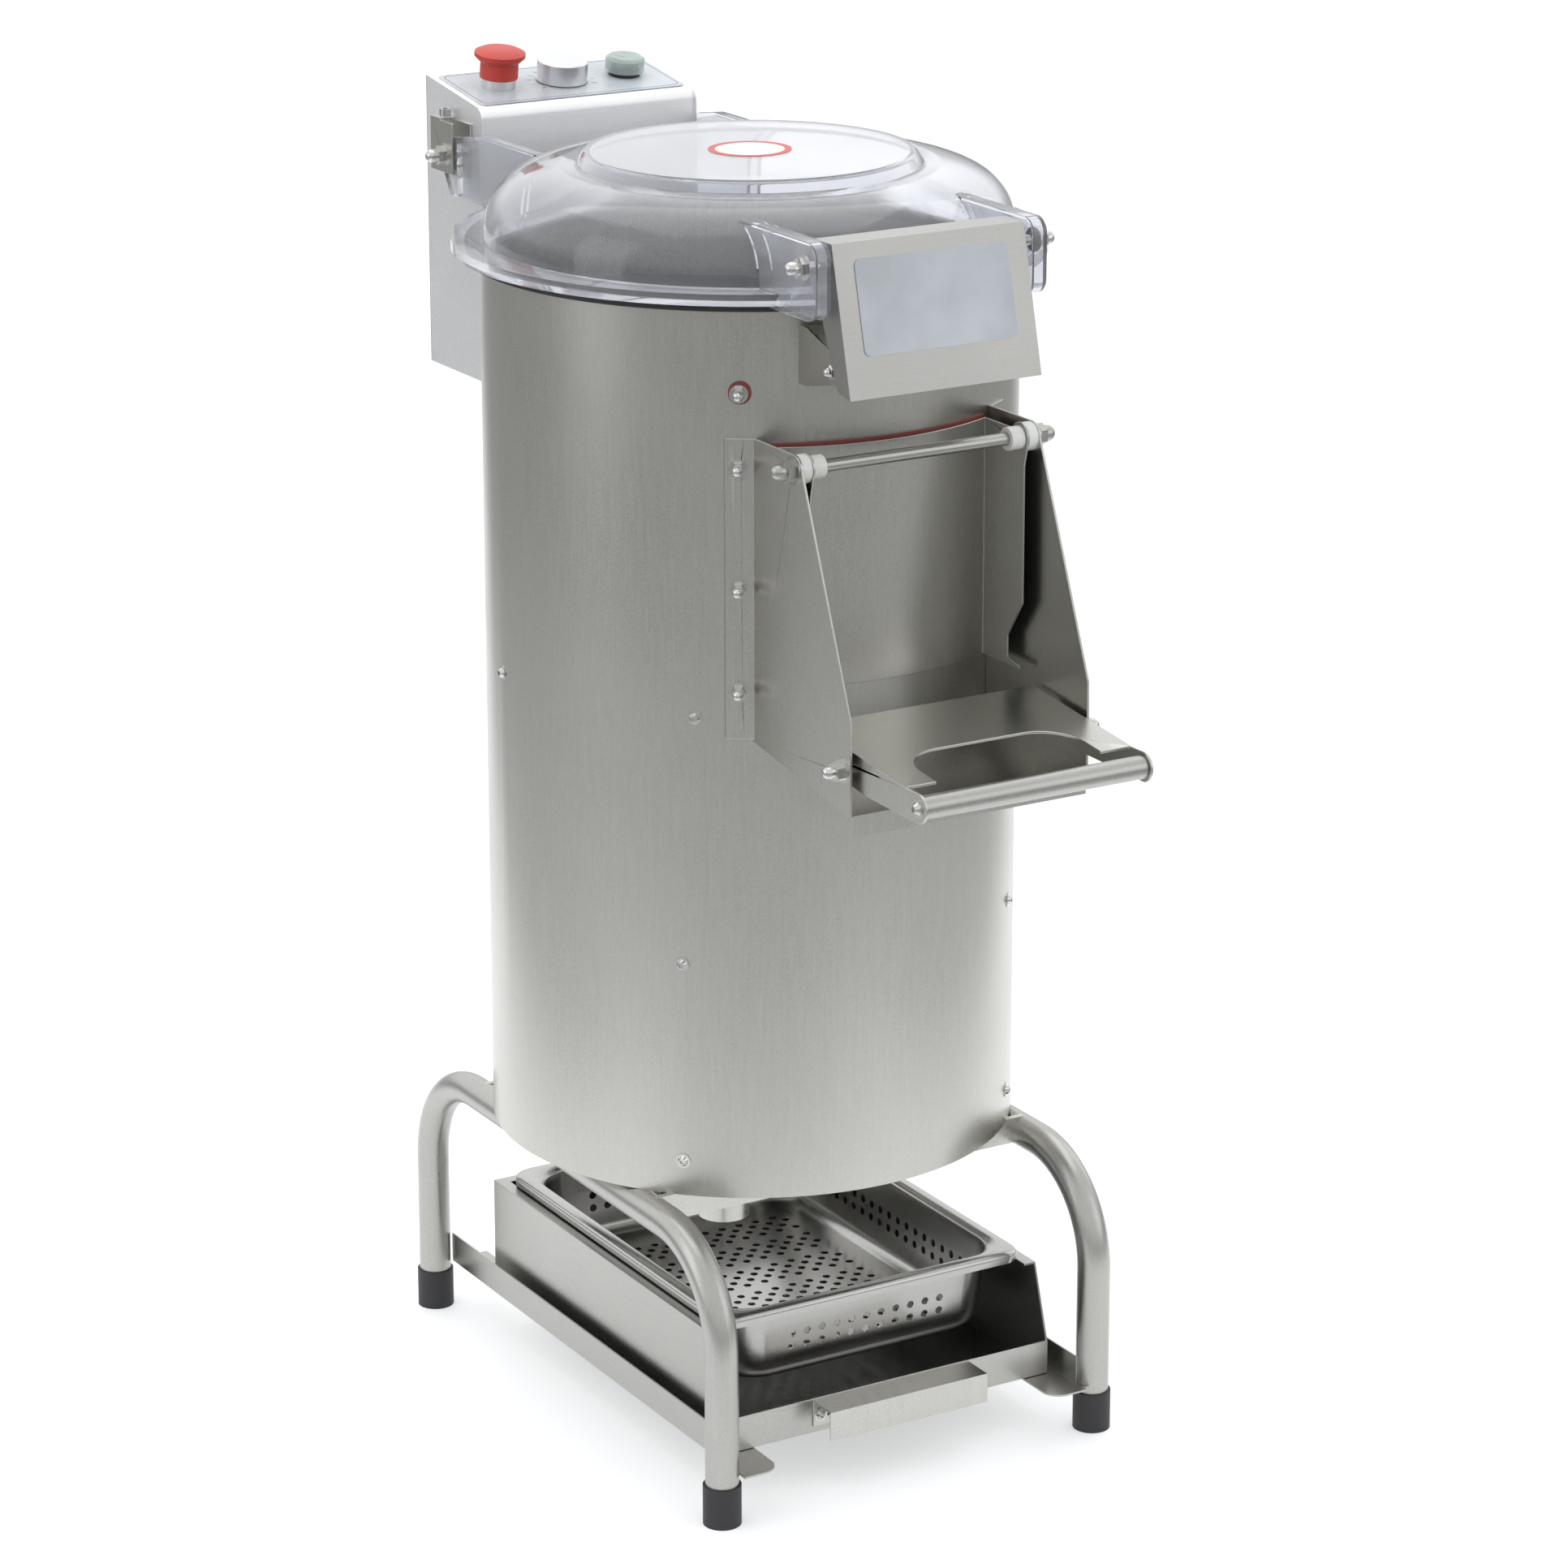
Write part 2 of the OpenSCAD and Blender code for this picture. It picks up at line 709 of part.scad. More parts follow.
// Side view of the control box, in (Y, Z); t draws it smaller by the sheet's thickness,
// and inset moves its front face back.
module box_outline(t, inset) {
    lean = [cos(panel_deg), sin(panel_deg)];
    drop = t / cos(panel_deg);
    front = box_front + inset + t;
    corner_z = panel_front_z + (inset + t) * tan(panel_deg) - drop;
    r = panel_bend_r - t;
    len = r * tan((90 - panel_deg) / 2);
    polygon([
        [box_back, box_bottom_z + t], [box_back, panel_back_z - drop],
        [front + len * lean[0], corner_z + len * lean[1]], [front + r, corner_z - len],
        [front, corner_z - len], [front, box_shoulder_z - t], [drum_r * 0.7, box_shoulder_z - t],
        [drum_r * 0.7, box_bottom_z + t]
    ]);
    translate([front + r, corner_z - len]) circle(r);
}

module box_bolt_places() {
    for (x = [-55, 55], z = [box_bottom_z + 25, box_shoulder_z - 25])
        translate([x, drum_r * cos(asin(55 / drum_r)), z]) children();
}

module control_box() {
    side_x = box_w / 2 - box_t;
    color(steel) place() difference() {
        union() {
            plate_x(-side_x, side_x) box_outline(0, box_inset);
            plate_x(-box_w / 2, -side_x) box_outline(0, 0);
            plate_x(side_x, box_w / 2) box_outline(0, 0);
        }
        plate_x(-side_x, side_x) box_outline(box_t, box_inset);
        cylinder(r = drum_r, h = box_shoulder_z);
        for (i = [-1 : 1]) on_panel(i * control_pitch) cylinder(r = 8, h = 30, center = true);
        gland_place() cylinder(r = gland_r, h = 20, center = true);
        rod_x(hinge_r, -box_w, box_w, hinge_y, hinge_z);
    }
}

module rear_cover() {
    color(steel) place() difference() {
        translate([-box_w / 2, box_back, box_bottom_z]) cube([box_w, box_t, box_h]);
        for (x = [-1, 1], z = [box_bottom_z + 12, panel_back_z - 14])
            translate([x * (box_w / 2 - 8), box_back - 2, z]) rotate([-90, 0, 0])
                cylinder(r = 1.6, h = 10, $fn = 24);
    }
}

// Puts children on the sloped panel at x, their +Z pointing out of it.
module on_panel(x) {
    translate([x, control_y, control_z]) rotate([panel_deg, 0, 0]) children();
}

module panel_overlay() {
    r = 5;
    w = box_w - 10;
    color([0.72, 0.73, 0.74]) place() difference() {
        on_panel(0) linear_extrude(overlay_t) union() {
            square([w - 2 * r, overlay_d], center = true);
            square([w, overlay_d - 2 * r], center = true);
            for (x = [-1, 1], y = [-1, 1]) translate([x * (w / 2 - r), y * (overlay_d / 2 - r)]) circle(r);
        }
        for (i = [-1 : 1]) on_panel(i * control_pitch) cylinder(r = 8, h = 30, center = true);
    }
}

module stop_collar() {
    color(bright) place() on_panel(-control_pitch) {
        translate([0, 0, overlay_t]) cylinder(r = stop_collar_r, h = 12);
        translate([0, 0, -14]) cylinder(r = 7.9, h = 14 + overlay_t);
    }
}

module stop_button() {
    skirt_r = 15;
    color([0.79, 0.22, 0.20]) place() on_panel(-control_pitch) difference() {
        union() {
            translate([0, 0, overlay_t + 8]) cylinder(r = skirt_r, h = 17);
            translate([0, 0, overlay_t + 20]) cylinder(r1 = skirt_r, r2 = estop_d / 2, h = 5);
            translate([0, 0, overlay_t + 25]) cylinder(r = estop_d / 2, h = 3);
            translate([0, 0, overlay_t + 28]) cylinder(r1 = estop_d / 2, r2 = estop_d / 2 - 4, h = 2);
            translate([0, 0, overlay_t + 30]) cylinder(r1 = estop_d / 2 - 4, r2 = estop_d / 2 - 9, h = 1.2);
        }
        translate([0, 0, overlay_t + 8 - cut]) cylinder(r = stop_collar_r + slide_gap, h = 10 + cut);
    }
}

module timer_spindle() {
    color(bright) place() on_panel(0) {
        translate([0, 0, -24]) cylinder(r = 7.9, h = 24 + overlay_t + 0.5);
        translate([0, 0, overlay_t]) cylinder(r = 3, h = 12);
        translate([0, 0, -40]) cylinder(r = 20, h = 40 - box_t - 0.2);
    }
}

module timer_knob() {
    color([0.78, 0.79, 0.80]) place() on_panel(0) difference() {
        union() {
            translate([0, 0, overlay_t + 1]) cylinder(r = timer_d / 2 + 0.6, h = 1.6);
            translate([0, 0, overlay_t + 2.6]) cylinder(r = timer_d / 2, h = timer_h - 3.4);
            translate([0, 0, overlay_t + timer_h - 0.8])
                cylinder(r1 = timer_d / 2, r2 = timer_d / 2 - 0.8, h = 0.8);
        }
        cylinder(r = 3 + run_gap, h = overlay_t + 12.5);
    }
}

module start_ring() {
    color(black) place() on_panel(control_pitch) {
        translate([0, 0, overlay_t]) cylinder(r = start_ring_r, h = 5.5);
        translate([0, 0, -20]) cylinder(r = 7.9, h = 20 + overlay_t);
    }
}

module start_button() {
    color([0.30, 0.62, 0.42]) place() on_panel(control_pitch)
        translate([0, 0, overlay_t + 9]) cylinder(r = start_ring_r, h = 4);
}

// Soft clear cap over the start button; its skirt slides over the dark ring.
module start_cap() {
    cap_z = overlay_t + 3.6;
    cap_h = 11.6;
    color([0.80, 0.86, 0.84, 0.6]) place() on_panel(control_pitch) translate([0, 0, cap_z]) difference() {
        union() {
            cylinder(r = start_d / 2, h = cap_h - 2.2);
            translate([0, 0, cap_h - 2.2]) cylinder(r1 = start_d / 2, r2 = start_d / 2 - 2.5, h = 2.2);
        }
        translate([0, 0, -cut]) cylinder(r = start_ring_r + slide_gap, h = cap_h - 2.2 + cut);
    }
}

module gland_place() {
    translate([60, box_back - 38, box_bottom_z]) children();
}
module cable_gland() {
    color(black) place() gland_place() difference() {
        union() {
            translate([0, 0, -5]) cylinder(r = 13, h = 5, $fn = 6);
            translate([0, 0, -15]) cylinder(r1 = 8, r2 = 11, h = 10);
            cylinder(r = gland_r, h = 9);
            translate([0, 0, box_t]) cylinder(r = 13, h = 5, $fn = 6);
        }
        translate([0, 0, -20]) cylinder(r = 4.5, h = 40);
    }
}

// ---- Lid ----

// Outline of the dome from its foot to the axis, in (radius, Z); t moves it in and down.
function dome_points(t) = concat(
    [for (i = [0 : dome_steps])
        let (a = 90 * i / dome_steps)
        [step_r + (dome_r - step_r) * pow(cos(a), dome_power) - t,
         lid_top_z + dome_h * pow(sin(a), dome_power) - t]],
    [[step_r - 3 - t, lid_top_z + dome_h + 1 - t],
     [disc_top_r + 1 - t, lid_top_z + dome_h + disc_top_h - 1.5 - t],
     [disc_top_r - 1.5 - t, lid_top_z + dome_h + disc_top_h - t],
     [0, lid_top_z + dome_h + disc_top_h - t]]);

module dome_solid(t, z0) {
    rotate_extrude() polygon(concat([[0, z0], [dome_r - t, z0]], dome_points(t)));
}

// Fin beside the latch, in (Y, Z), with a round nose. Its hollow starts at foot_z.
module front_fin_outline(t, foot_z) {
    nose_y = -drum_r - 52 + t;
    top_z = front_fin_z1 - t;
    r = 12 - t;
    polygon([[-drum_r / 2, foot_z], [nose_y + r, foot_z], [nose_y, foot_z + r], [nose_y, top_z - r],
             [nose_y + r, top_z], [-drum_r / 2, top_z]]);
    translate([nose_y + r, foot_z + r]) circle(r);
    translate([nose_y + r, top_z - r]) circle(r);
}

// Arm that reaches back to the hinge, in (Y, Z).
module rear_fin_outline() {
    slope_y = hinge_y - 60;
    polygon([[drum_r / 2, fin_z0 + 12], [drum_r - 15, fin_z0 + 12], [drum_r + 5, fin_z0 + 4],
             [hinge_y - 5, fin_z0 + 4], [hinge_y + boss_r, hinge_z], [hinge_y, hinge_z + boss_r],
             [slope_y, fin_z1], [drum_r / 2, fin_z1]]);
    translate([hinge_y, hinge_z]) circle(boss_r);
}

// The hollow of a hinge arm, open below.
module rear_hollow_outline() {
    slope_y = hinge_y - 60;
    end_y = hinge_y - boss_r - 3;
    polygon([[drum_r / 2, fin_z0 - cut], [end_y, fin_z0 - cut], [end_y, hinge_z + boss_r - fin_wall],
             [slope_y, fin_z1 - fin_wall], [drum_r / 2, fin_z1 - fin_wall]]);
}

module lid_fins() {
    difference() {
        plate_x(front_fin_x, front_fin_x + fin_t) front_fin_outline(0, fin_z0);
        plate_x(front_fin_x + fin_wall, front_fin_x + fin_t - fin_wall)
            front_fin_outline(fin_wall, fin_z0 - 12);
    }
    difference() {
        plate_x(rear_fin_x, rear_fin_x + rear_fin_t) rear_fin_outline();
        plate_x(rear_fin_x + fin_wall, rear_fin_x + rear_fin_t - fin_wall) rear_hollow_outline();
    }
}

module lid() {
    color(clear) place() difference() {
        union() {
            translate([0, 0, lid_z]) cylinder(r = lid_r, h = lid_flange_t);
            dome_solid(0, lid_top_z - 1);
            lid_fins();
            scale([-1, 1, 1]) lid_fins();
        }
        dome_solid(lid_t, lid_z - 20);
        rod_x(hinge_r + run_gap, -box_w, box_w, hinge_y, hinge_z);
        rod_x(pin_r, -box_w, box_w, latch_pin_y, latch_pin_z);
        translate([0, 0, fin_z0 - cut]) ring(gasket_r + 1, 20, 0, lid_z - fin_z0 + cut);
    }
}

module lid_badge() {
    badge_z = lid_top_z + dome_h + disc_top_h;
    color([0.86, 0.30, 0.28]) place() ring(31, 26, badge_z, badge_z + 0.3);
}

// Clevis on the side of the control box that carries one lid arm.
module hinge_bracket(side) {
    t = bracket_t;
    inner_x = box_w / 2;
    top_z = fin_z1 + 3;
    rear_y = hinge_y + 22;
    // The top plate starts behind the lid's arm in its open position
    plate_y = hinge_y + 5;
    color(steel) place() scale([side, 1, 1]) difference() {
        union() {
            translate([inner_x, hinge_y - 22, hinge_z - 16]) cube([t, 44, top_z - hinge_z + 16]);
            translate([bracket_out_x, hinge_y - 14, hinge_z - 14]) cube([t, 36, top_z - hinge_z + 14]);
            translate([inner_x, plate_y, top_z]) cube([bracket_out_x + t - inner_x, rear_y - plate_y, t]);
        }
        rod_x(hinge_r, inner_x - 5, bracket_out_x + 8, hinge_y, hinge_z);
    }
}
module left_hinge_bracket() { hinge_bracket(-1); }
module right_hinge_bracket() { hinge_bracket(1); }

// Hinge pins with domed nuts, and the stop screw on top of each bracket.
module hinge_bolts() {
    head_h = 4;
    nut_x = bracket_out_x + bracket_t;
    wall_x = box_w / 2 - box_t;
    color(bright) place() for (side = [-1, 1]) scale([side, 1, 1]) {
        rod_x(hinge_r, wall_x - head_h, nut_x, hinge_y, hinge_z);
        rod_x(7, wall_x - head_h, wall_x, hinge_y, hinge_z);
        translate([nut_x, hinge_y, hinge_z]) rotate([0, 90, 0]) acorn_nut(6.5);
        translate([box_w / 2 + 7, hinge_y + 10, fin_z1 + 3 + bracket_t]) difference() {
            cylinder(r = 4.5, h = 6);
            translate([0, 0, 3]) cylinder(r = 2.2, h = 5, $fn = 6);
        }
    }
}

// ---- Latch ----

// Side view of the latch housing, in (Y, Z).
module latch_outline() {
    low = [latch_top_y - latch_h * sin(latch_deg), latch_top_z - latch_h * cos(latch_deg)];
    r = 8;
    polygon([[latch_top_y, latch_top_z], low, [low[0] + latch_depth - r, low[1] + 2],
             [low[0] + latch_depth, low[1] + r + 2], [latch_top_y + latch_depth + 4, latch_pin_z - 12],
             [latch_top_y + latch_depth + 4, latch_top_z]]);
    translate([low[0] + latch_depth - r, low[1] + r + 2]) circle(r);
}

module latch_housing() {
    color(steel) place() difference() {
        plate_x(-latch_x, latch_x) latch_outline();
        plate_x(-latch_x + latch_t, latch_x - latch_t) translate([latch_t / cos(latch_deg), -latch_t])
            polygon([[latch_top_y, latch_top_z],
                     [latch_top_y - 2 * latch_h * sin(latch_deg), latch_top_z - 2 * latch_h * cos(latch_deg)],
                     [-drum_r / 2, latch_top_z - 2 * latch_h], [-drum_r / 2, latch_top_z]]);
        rod_x(pin_r + run_gap, -box_w, box_w, latch_pin_y, latch_pin_z);
    }
}

// Blank plate on the latch housing's face.
module latch_plate() {
    w = 126;
    h = 68;
    r = 5;
    color([0.74, 0.76, 0.79]) place() translate([0, latch_top_y, latch_top_z]) rotate([90 - latch_deg, 0, 0])
        translate([0, -46, 0]) linear_extrude(0.8) union() {
            square([w - 2 * r, h], center = true);
            square([w, h - 2 * r], center = true);
            for (x = [-1, 1], y = [-1, 1]) translate([x * (w / 2 - r), y * (h / 2 - r)]) circle(r);
        }
}

module latch_bolts() {
    nut_x = front_fin_x + fin_t;
    color(bright) place() for (side = [-1, 1]) scale([side, 1, 1]) {
        rod_x(pin_r, latch_x - latch_t - 1, nut_x, latch_pin_y, latch_pin_z);
        rod_x(6.5, latch_x - latch_t - 5, latch_x - latch_t - 1, latch_pin_y, latch_pin_z);
        translate([nut_x, latch_pin_y, latch_pin_z]) rotate([0, 90, 0]) acorn_nut(6.5);
    }
}

// Two ears on the drum with the bar that the latch closes over.
module catch_bracket() {
    ear_x = latch_x - 11;
    ear_z = drum_top_z - 36;
    bar_y = -drum_r - 36;
    bar_r = 4;
    back = -drum_r * cos(asin(ear_x / drum_r));
    color(steel) place() difference() {
        union() {
            for (side = [-1, 1]) scale([side, 1, 1]) {
                plate_x(ear_x, ear_x + 2) union() {
                    polygon([[back + 12, ear_z - 18], [back + 12, ear_z + 24], [back - 10, ear_z + 24],
                             [bar_y - 8, ear_z + 8], [bar_y - 8, ear_z - 8], [back - 10, ear_z - 18]]);
                    translate([bar_y, ear_z]) circle(10);
                }
                translate([0, 0, ear_z]) intersection() {
                    ring(drum_r + 2, drum_r, -18, 24);
                    translate([ear_x - 24, -drum_d, -30]) cube([25, drum_d, 60]);
                }
            }
            rod_x(bar_r, -ear_x - 3, ear_x + 3, bar_y, ear_z);
        }
        cylinder(r = drum_r, h = drum_top_z + 10);
    }
}

// ---- Chute ----

module chute_bolt_places() {
    a = asin((chute_x + flange_w / 2) / drum_r);
    for (side = [-1, 1], z = [chute_top_z - 22, (chute_top_z + floor_z) / 2, floor_z + 35])
        on_drum(side * a, z) children();
}

// Side plate of the chute, in (Y, Z).
module chute_outline() {
    polygon([
        [chute_back_y + 12, floor_z], [chute_back_y + 12, chute_top_z], [-rod_y, chute_top_z],
        [-rod_y - ear_r, rod_z], [-chute_front, chute_low_z + chute_front_h], [-chute_front, chute_low_z]
    ]);
    translate([-rod_y, rod_z]) circle(ear_r);
}

module chute_side(side) {
    color(steel) place() difference() {
        scale([side, 1, 1]) union() {
            plate_x(chute_x - chute_t, chute_x) chute_outline();
            intersection() {
                ring(drum_r + chute_t, drum_r, floor_z, chute_top_z);
                translate([chute_x - chute_t, -drum_d, 0]) cube([flange_w + chute_t, drum_d, drum_top_z]);
            }
        }
        cylinder(r = drum_r, h = drum_top_z);
        rod_x(rod_r, -drum_r, drum_r, -rod_y, rod_z);
        rod_x(pin_r, -drum_r, drum_r, -pivot_y, pivot_z);
        chute_bolt_places() translate([0, 0, -12]) cylinder(r = chute_bolt_r, h = 30, $fn = 24);
    }
}
module chute_left() { chute_side(-1); }
module chute_right() { chute_side(1); }

module chute_floor() {
    x = chute_x - chute_t;
    lip = 14;
    color(steel) place() difference() {
        plate_x(-x, x) polygon([
            [chute_back_y + 20, floor_z + 3], [-chute_front, chute_low_z + sheet_t],
            [-chute_front, chute_low_z - lip], [-chute_front + sheet_t, chute_low_z - lip],
            [-chute_front + sheet_t, chute_low_z], [chute_back_y + 20, floor_z + 3 - sheet_t]
        ]);
        cylinder(r = drum_r, h = drum_top_z);
    }
}

// Fasteners of the chute flanges, and the single nut above them.
module chute_nuts() {
    color(bright) place() {
        chute_bolt_places() {
            translate([0, 0, -drum_wall]) cylinder(r = chute_bolt_r, h = drum_wall + chute_t);
            translate([0, 0, chute_t]) acorn_nut(5);
        }
        on_drum(-32.7, chute_top_z + 32) acorn_nut(5);
    }
}

module door_rod() {
    color(bright) place() {
        rod_x(rod_r, -chute_x, chute_x, -rod_y, rod_z);
        for (side = [-1, 1]) scale([side, 1, 1]) translate([chute_x, -rod_y, rod_z])
            rotate([0, 90, 0]) acorn_nut(7.5);
    }
}

module door_bushes() {
    inner_x = door_x - door_t - slide_gap;
    color(nylon) place() for (side = [-1, 1]) scale([side, 1, 1]) difference() {
        union() {
            rod_x(washer_r, door_x + slide_gap, chute_x - chute_t, -rod_y, rod_z);
            rod_x(bush_r, inner_x - bush_l, inner_x, -rod_y, rod_z);
        }
        rod_x(rod_r, 0, chute_x + 5, -rod_y, rod_z);
    }
}

// Side cheek of the discharge door, in (Y, Z).
module cheek_outline() {
    back = -(drum_r + gasket_open_t) * cos(asin(door_x / door_r)) + 4;
    step_z = door_bottom_z + 22;
    polygon([
        [back, door_bottom_z], [back, door_top_z], [-rod_y, door_top_z], [door_front_y - 5, rod_z],
        [door_front_y, rod_z - 20], [door_front_y, step_z + 28], [door_front_y + 19, step_z],
        [door_front_y + 19, door_bottom_z + 6], [door_front_y + 4, door_bottom_z + 3],
        [door_front_y + 4, door_bottom_z]
    ]);
    translate([-rod_y, rod_z]) circle(ear_r);
}

module discharge_door() {
    color(steel) place() difference() {
        union() {
            intersection() {
                ring(door_r + door_t, door_r, door_bottom_z, door_top_z);
                translate([-door_x, -drum_d, 0]) cube([2 * door_x, drum_d, drum_top_z]);
            }
            for (side = [-1, 1]) scale([side, 1, 1]) difference() {
                plate_x(door_x - door_t, door_x) cheek_outline();
                cylinder(r = door_r, h = drum_top_z);
            }
        }
        rod_x(rod_r + run_gap, -drum_r, drum_r, -rod_y, rod_z);
    }
}

// Height of the lever plate's top at distance y from the drum's axis.
function lever_top(y) = lever_rear_z - (y - lever_rear_y) * tan(lever_deg);

module lever_outline() {
    polygon([
        [-lever_rear_y - 14, lever_top(lever_rear_y + 14)], [lever_front_y, lever_top(-lever_front_y)],
        [-handle_y, handle_z + ear_r], [-handle_y, handle_z - ear_r], [-pivot_y - 20, pivot_z - ear_r - 3],
        [-pivot_y, pivot_z - ear_r], [-pivot_y + ear_r, pivot_z]
    ]);
    translate([-handle_y, handle_z]) circle(ear_r);
    translate([-pivot_y, pivot_z]) circle(ear_r);
}

// Cut-out behind the handle tube, seen from above.
module lever_notch() {
    straight = notch_depth - notch_r;
    translate([-notch_half_w, -cut]) square([2 * notch_half_w, straight + cut]);
    translate([-notch_half_w + notch_r, -cut]) square([2 * (notch_half_w - notch_r), notch_depth + cut]);
    for (side = [-1, 1]) translate([side * (notch_half_w - notch_r), straight]) circle(notch_r);
}

module lever_plate() {
    color(steel) place() difference() {
        union() {
            for (side = [-1, 1]) scale([side, 1, 1])
                plate_x(lever_x - lever_t, lever_x) lever_outline();
            plate_x(-lever_x, lever_x) polygon([
                [-lever_rear_y, lever_rear_z], [lever_front_y, lever_top(-lever_front_y)],
                [lever_front_y, lever_top(-lever_front_y) - lever_t], [-lever_rear_y, lever_rear_z - lever_t]
            ]);
        }
        translate([0, lever_front_y, pivot_z]) linear_extrude(60) lever_notch();
        rod_x(pin_r + run_gap, -drum_r, drum_r, -pivot_y, pivot_z);
        rod_x(2.5, -drum_r, drum_r, -handle_y, handle_z);
    }
}

module lever_handle() {
    color(steel) place() difference() {
        rod_x(handle_r, -lever_x + lever_t, lever_x - lever_t, -handle_y, handle_z);
        rod_x(2.5, -lever_x, lever_x, -handle_y, handle_z);
    }
}

module handle_bolts() {
    color(bright) place() for (side = [-1, 1]) scale([side, 1, 1]) {
        rod_x(2.5, lever_x - 20, lever_x, -handle_y, handle_z);
        translate([lever_x, -handle_y, handle_z]) rotate([0, 90, 0]) button_screw(5, 2.5, 1);
    }
}

module lever_pivots() {
    color(bright) place() for (side = [-1, 1]) scale([side, 1, 1]) {
        rod_x(pin_r, lever_x - lever_t - 1, chute_x, -pivot_y, pivot_z);
        rod_x(6.5, lever_x - lever_t - 4.5, lever_x - lever_t - 0.5, -pivot_y, pivot_z);
        translate([chute_x, -pivot_y, pivot_z]) rotate([0, 90, 0]) acorn_nut(6.5);
    }
}

// ---- Waste tray ----

module waste_tray() {
    t = sheet_t;
    w = tray_w / 2;
    color(steel) place() difference() {
        union() {
            translate([-w, tray_front_y, tray_z]) cube([tray_w, tray_l, t]);
            for (side = [-1, 1]) scale([side, 1, 1]) {
                plate_x(w - t, w) polygon([
                    [tray_front_y, tray_z], [tray_back_y, tray_z], [tray_back_y, tray_top_z],
                    [tray_front_y + tray_slope, tray_top_z], [tray_front_y, tray_z + tray_lip_h]
                ]);
                translate([w - tray_flange_w, tray_front_y + tray_slope, tray_top_z - t])
                    cube([tray_flange_w, tray_l - tray_slope, t]);
            }
            translate([-w, tray_front_y, tray_z]) cube([tray_w, t, tray_lip_h]);
            translate([-w, tray_back_y - t, tray_z]) cube([tray_w, t, tray_h]);
            translate([-w, tray_back_y - tray_flange_w, tray_top_z - t]) cube([tray_w, tray_flange_w, t]);
        }
        pull_screw_places() rotate([90, 0, 0]) cylinder(r = 2.5, h = 20, center = true);
    }
}

module pull_screw_places() {
    for (side = [-1, 1]) translate([side * (pull_w / 2 - 6), tray_front_y, tray_z + 14]) children();
}

// Folded pull: a flange on the tray's lip, a shelf and a front lip.
module tray_pull() {
    t = sheet_t;
    w = pull_w / 2;
    shelf_z = tray_z + tray_lip_h - 1;
    color(steel) place() difference() {
        union() {
            translate([-w, tray_front_y - t, tray_z + 5]) cube([pull_w, t, shelf_z - tray_z - 5]);
            translate([-w, tray_front_y - pull_reach, shelf_z - t]) cube([pull_w, pull_reach - t, t]);
            translate([-w, tray_front_y - pull_reach, shelf_z - 23]) cube([pull_w, t, 23]);
        }
        pull_screw_places() rotate([90, 0, 0]) cylinder(r = 2.5, h = 20, center = true);
    }
}

module pull_screws() {
    color(bright) place() pull_screw_places() translate([0, -sheet_t, 0]) rotate([90, 0, 0])
        button_screw(4, 2.5, 2 * sheet_t + 2);
}

// Rounded rectangle centred on the pan.
module pan_shape(w, l, r) {
    square([w - 2 * r, l], center = true);
    square([w, l - 2 * r], center = true);
    for (x = [-1, 1], y = [-1, 1]) translate([x * (w / 2 - r), y * (l / 2 - r)]) circle(r);
}

module pan_holes(w, l) {
    nx = floor((w - 44) / pan_hole_pitch / 2);
    ny = floor((l - 50) / pan_hole_pitch / 2);
    for (i = [-nx : nx], j = [-ny : ny]) if ((i + j) % 2 == 0)
        translate([i * pan_hole_pitch * 0.85, j * pan_hole_pitch * 0.85]) circle(pan_hole_d / 2, $fn = 16);
}

module strainer_pan() {
    in_w = pan_w - 2 * pan_rim_w;
    in_l = pan_l - 2 * pan_rim_w;
    t = pan_wall_t;
    color(steel) place() translate([0, pan_front_y + pan_l / 2, 0]) {
        translate([0, 0, pan_bottom_z]) linear_extrude(t) difference() {
            pan_shape(in_w, in_l, pan_corner_r);
            pan_holes(in_w, in_l);
        }
        translate([0, 0, pan_bottom_z + t]) linear_extrude(pan_depth - t) difference() {
            pan_shape(in_w, in_l, pan_corner_r);
            pan_shape(in_w - 2 * t, in_l - 2 * t, pan_corner_r - t);
        }
        translate([0, 0, pan_top_z - t]) linear_extrude(t) difference() {
            pan_shape(pan_w, pan_l, pan_corner_r + 8);
            pan_shape(in_w - 2 * t, in_l - 2 * t, pan_corner_r - t);
        }
        translate([0, 0, tray_top_z + slide_gap]) linear_extrude(pan_rim_h - slide_gap - t) difference() {
            pan_shape(pan_w, pan_l, pan_corner_r + 8);
            pan_shape(pan_w - 2 * t, pan_l - 2 * t, pan_corner_r + 8 - t);
        }
    }
}

left_leg_frame();
right_leg_frame();
front_cross_beam();
rear_cross_beam();
rubber_feet();
left_tray_rail();
right_tray_rail();
drum_shell();
rim_gasket();
abrasive_liner();
chamber_floor();
bottom_cover();
drain_pipe();
water_inlet();
shell_screws();
opening_gasket();
abrasive_disc();
disc_shaft();
bearing_housing();
disc_pulley();
drive_belt();
motor_pulley();
motor_body();
motor_plate();
control_box();
rear_cover();
panel_overlay();
stop_collar();
stop_button();
timer_spindle();
timer_knob();
start_ring();
start_button();
start_cap();
cable_gland();
left_hinge_bracket();
right_hinge_bracket();
hinge_bolts();
lid();
lid_badge();
latch_housing();
latch_plate();
latch_bolts();
catch_bracket();
chute_left();
chute_right();
chute_floor();
chute_nuts();
door_rod();
door_bushes();
discharge_door();
lever_plate();
lever_handle();
handle_bolts();
lever_pivots();
waste_tray();
tray_pull();
pull_screws();
strainer_pan();
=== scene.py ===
"""Looks of a floor-standing abrasive vegetable peeler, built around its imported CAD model.

All lengths are metres in the row frame: +Z is up, the front faces -Y and the floor is Z = 0.
"""

import json
import math

import bmesh
import bpy
from mathutils import Matrix, Vector
from mathutils.geometry import delaunay_2d_cdt


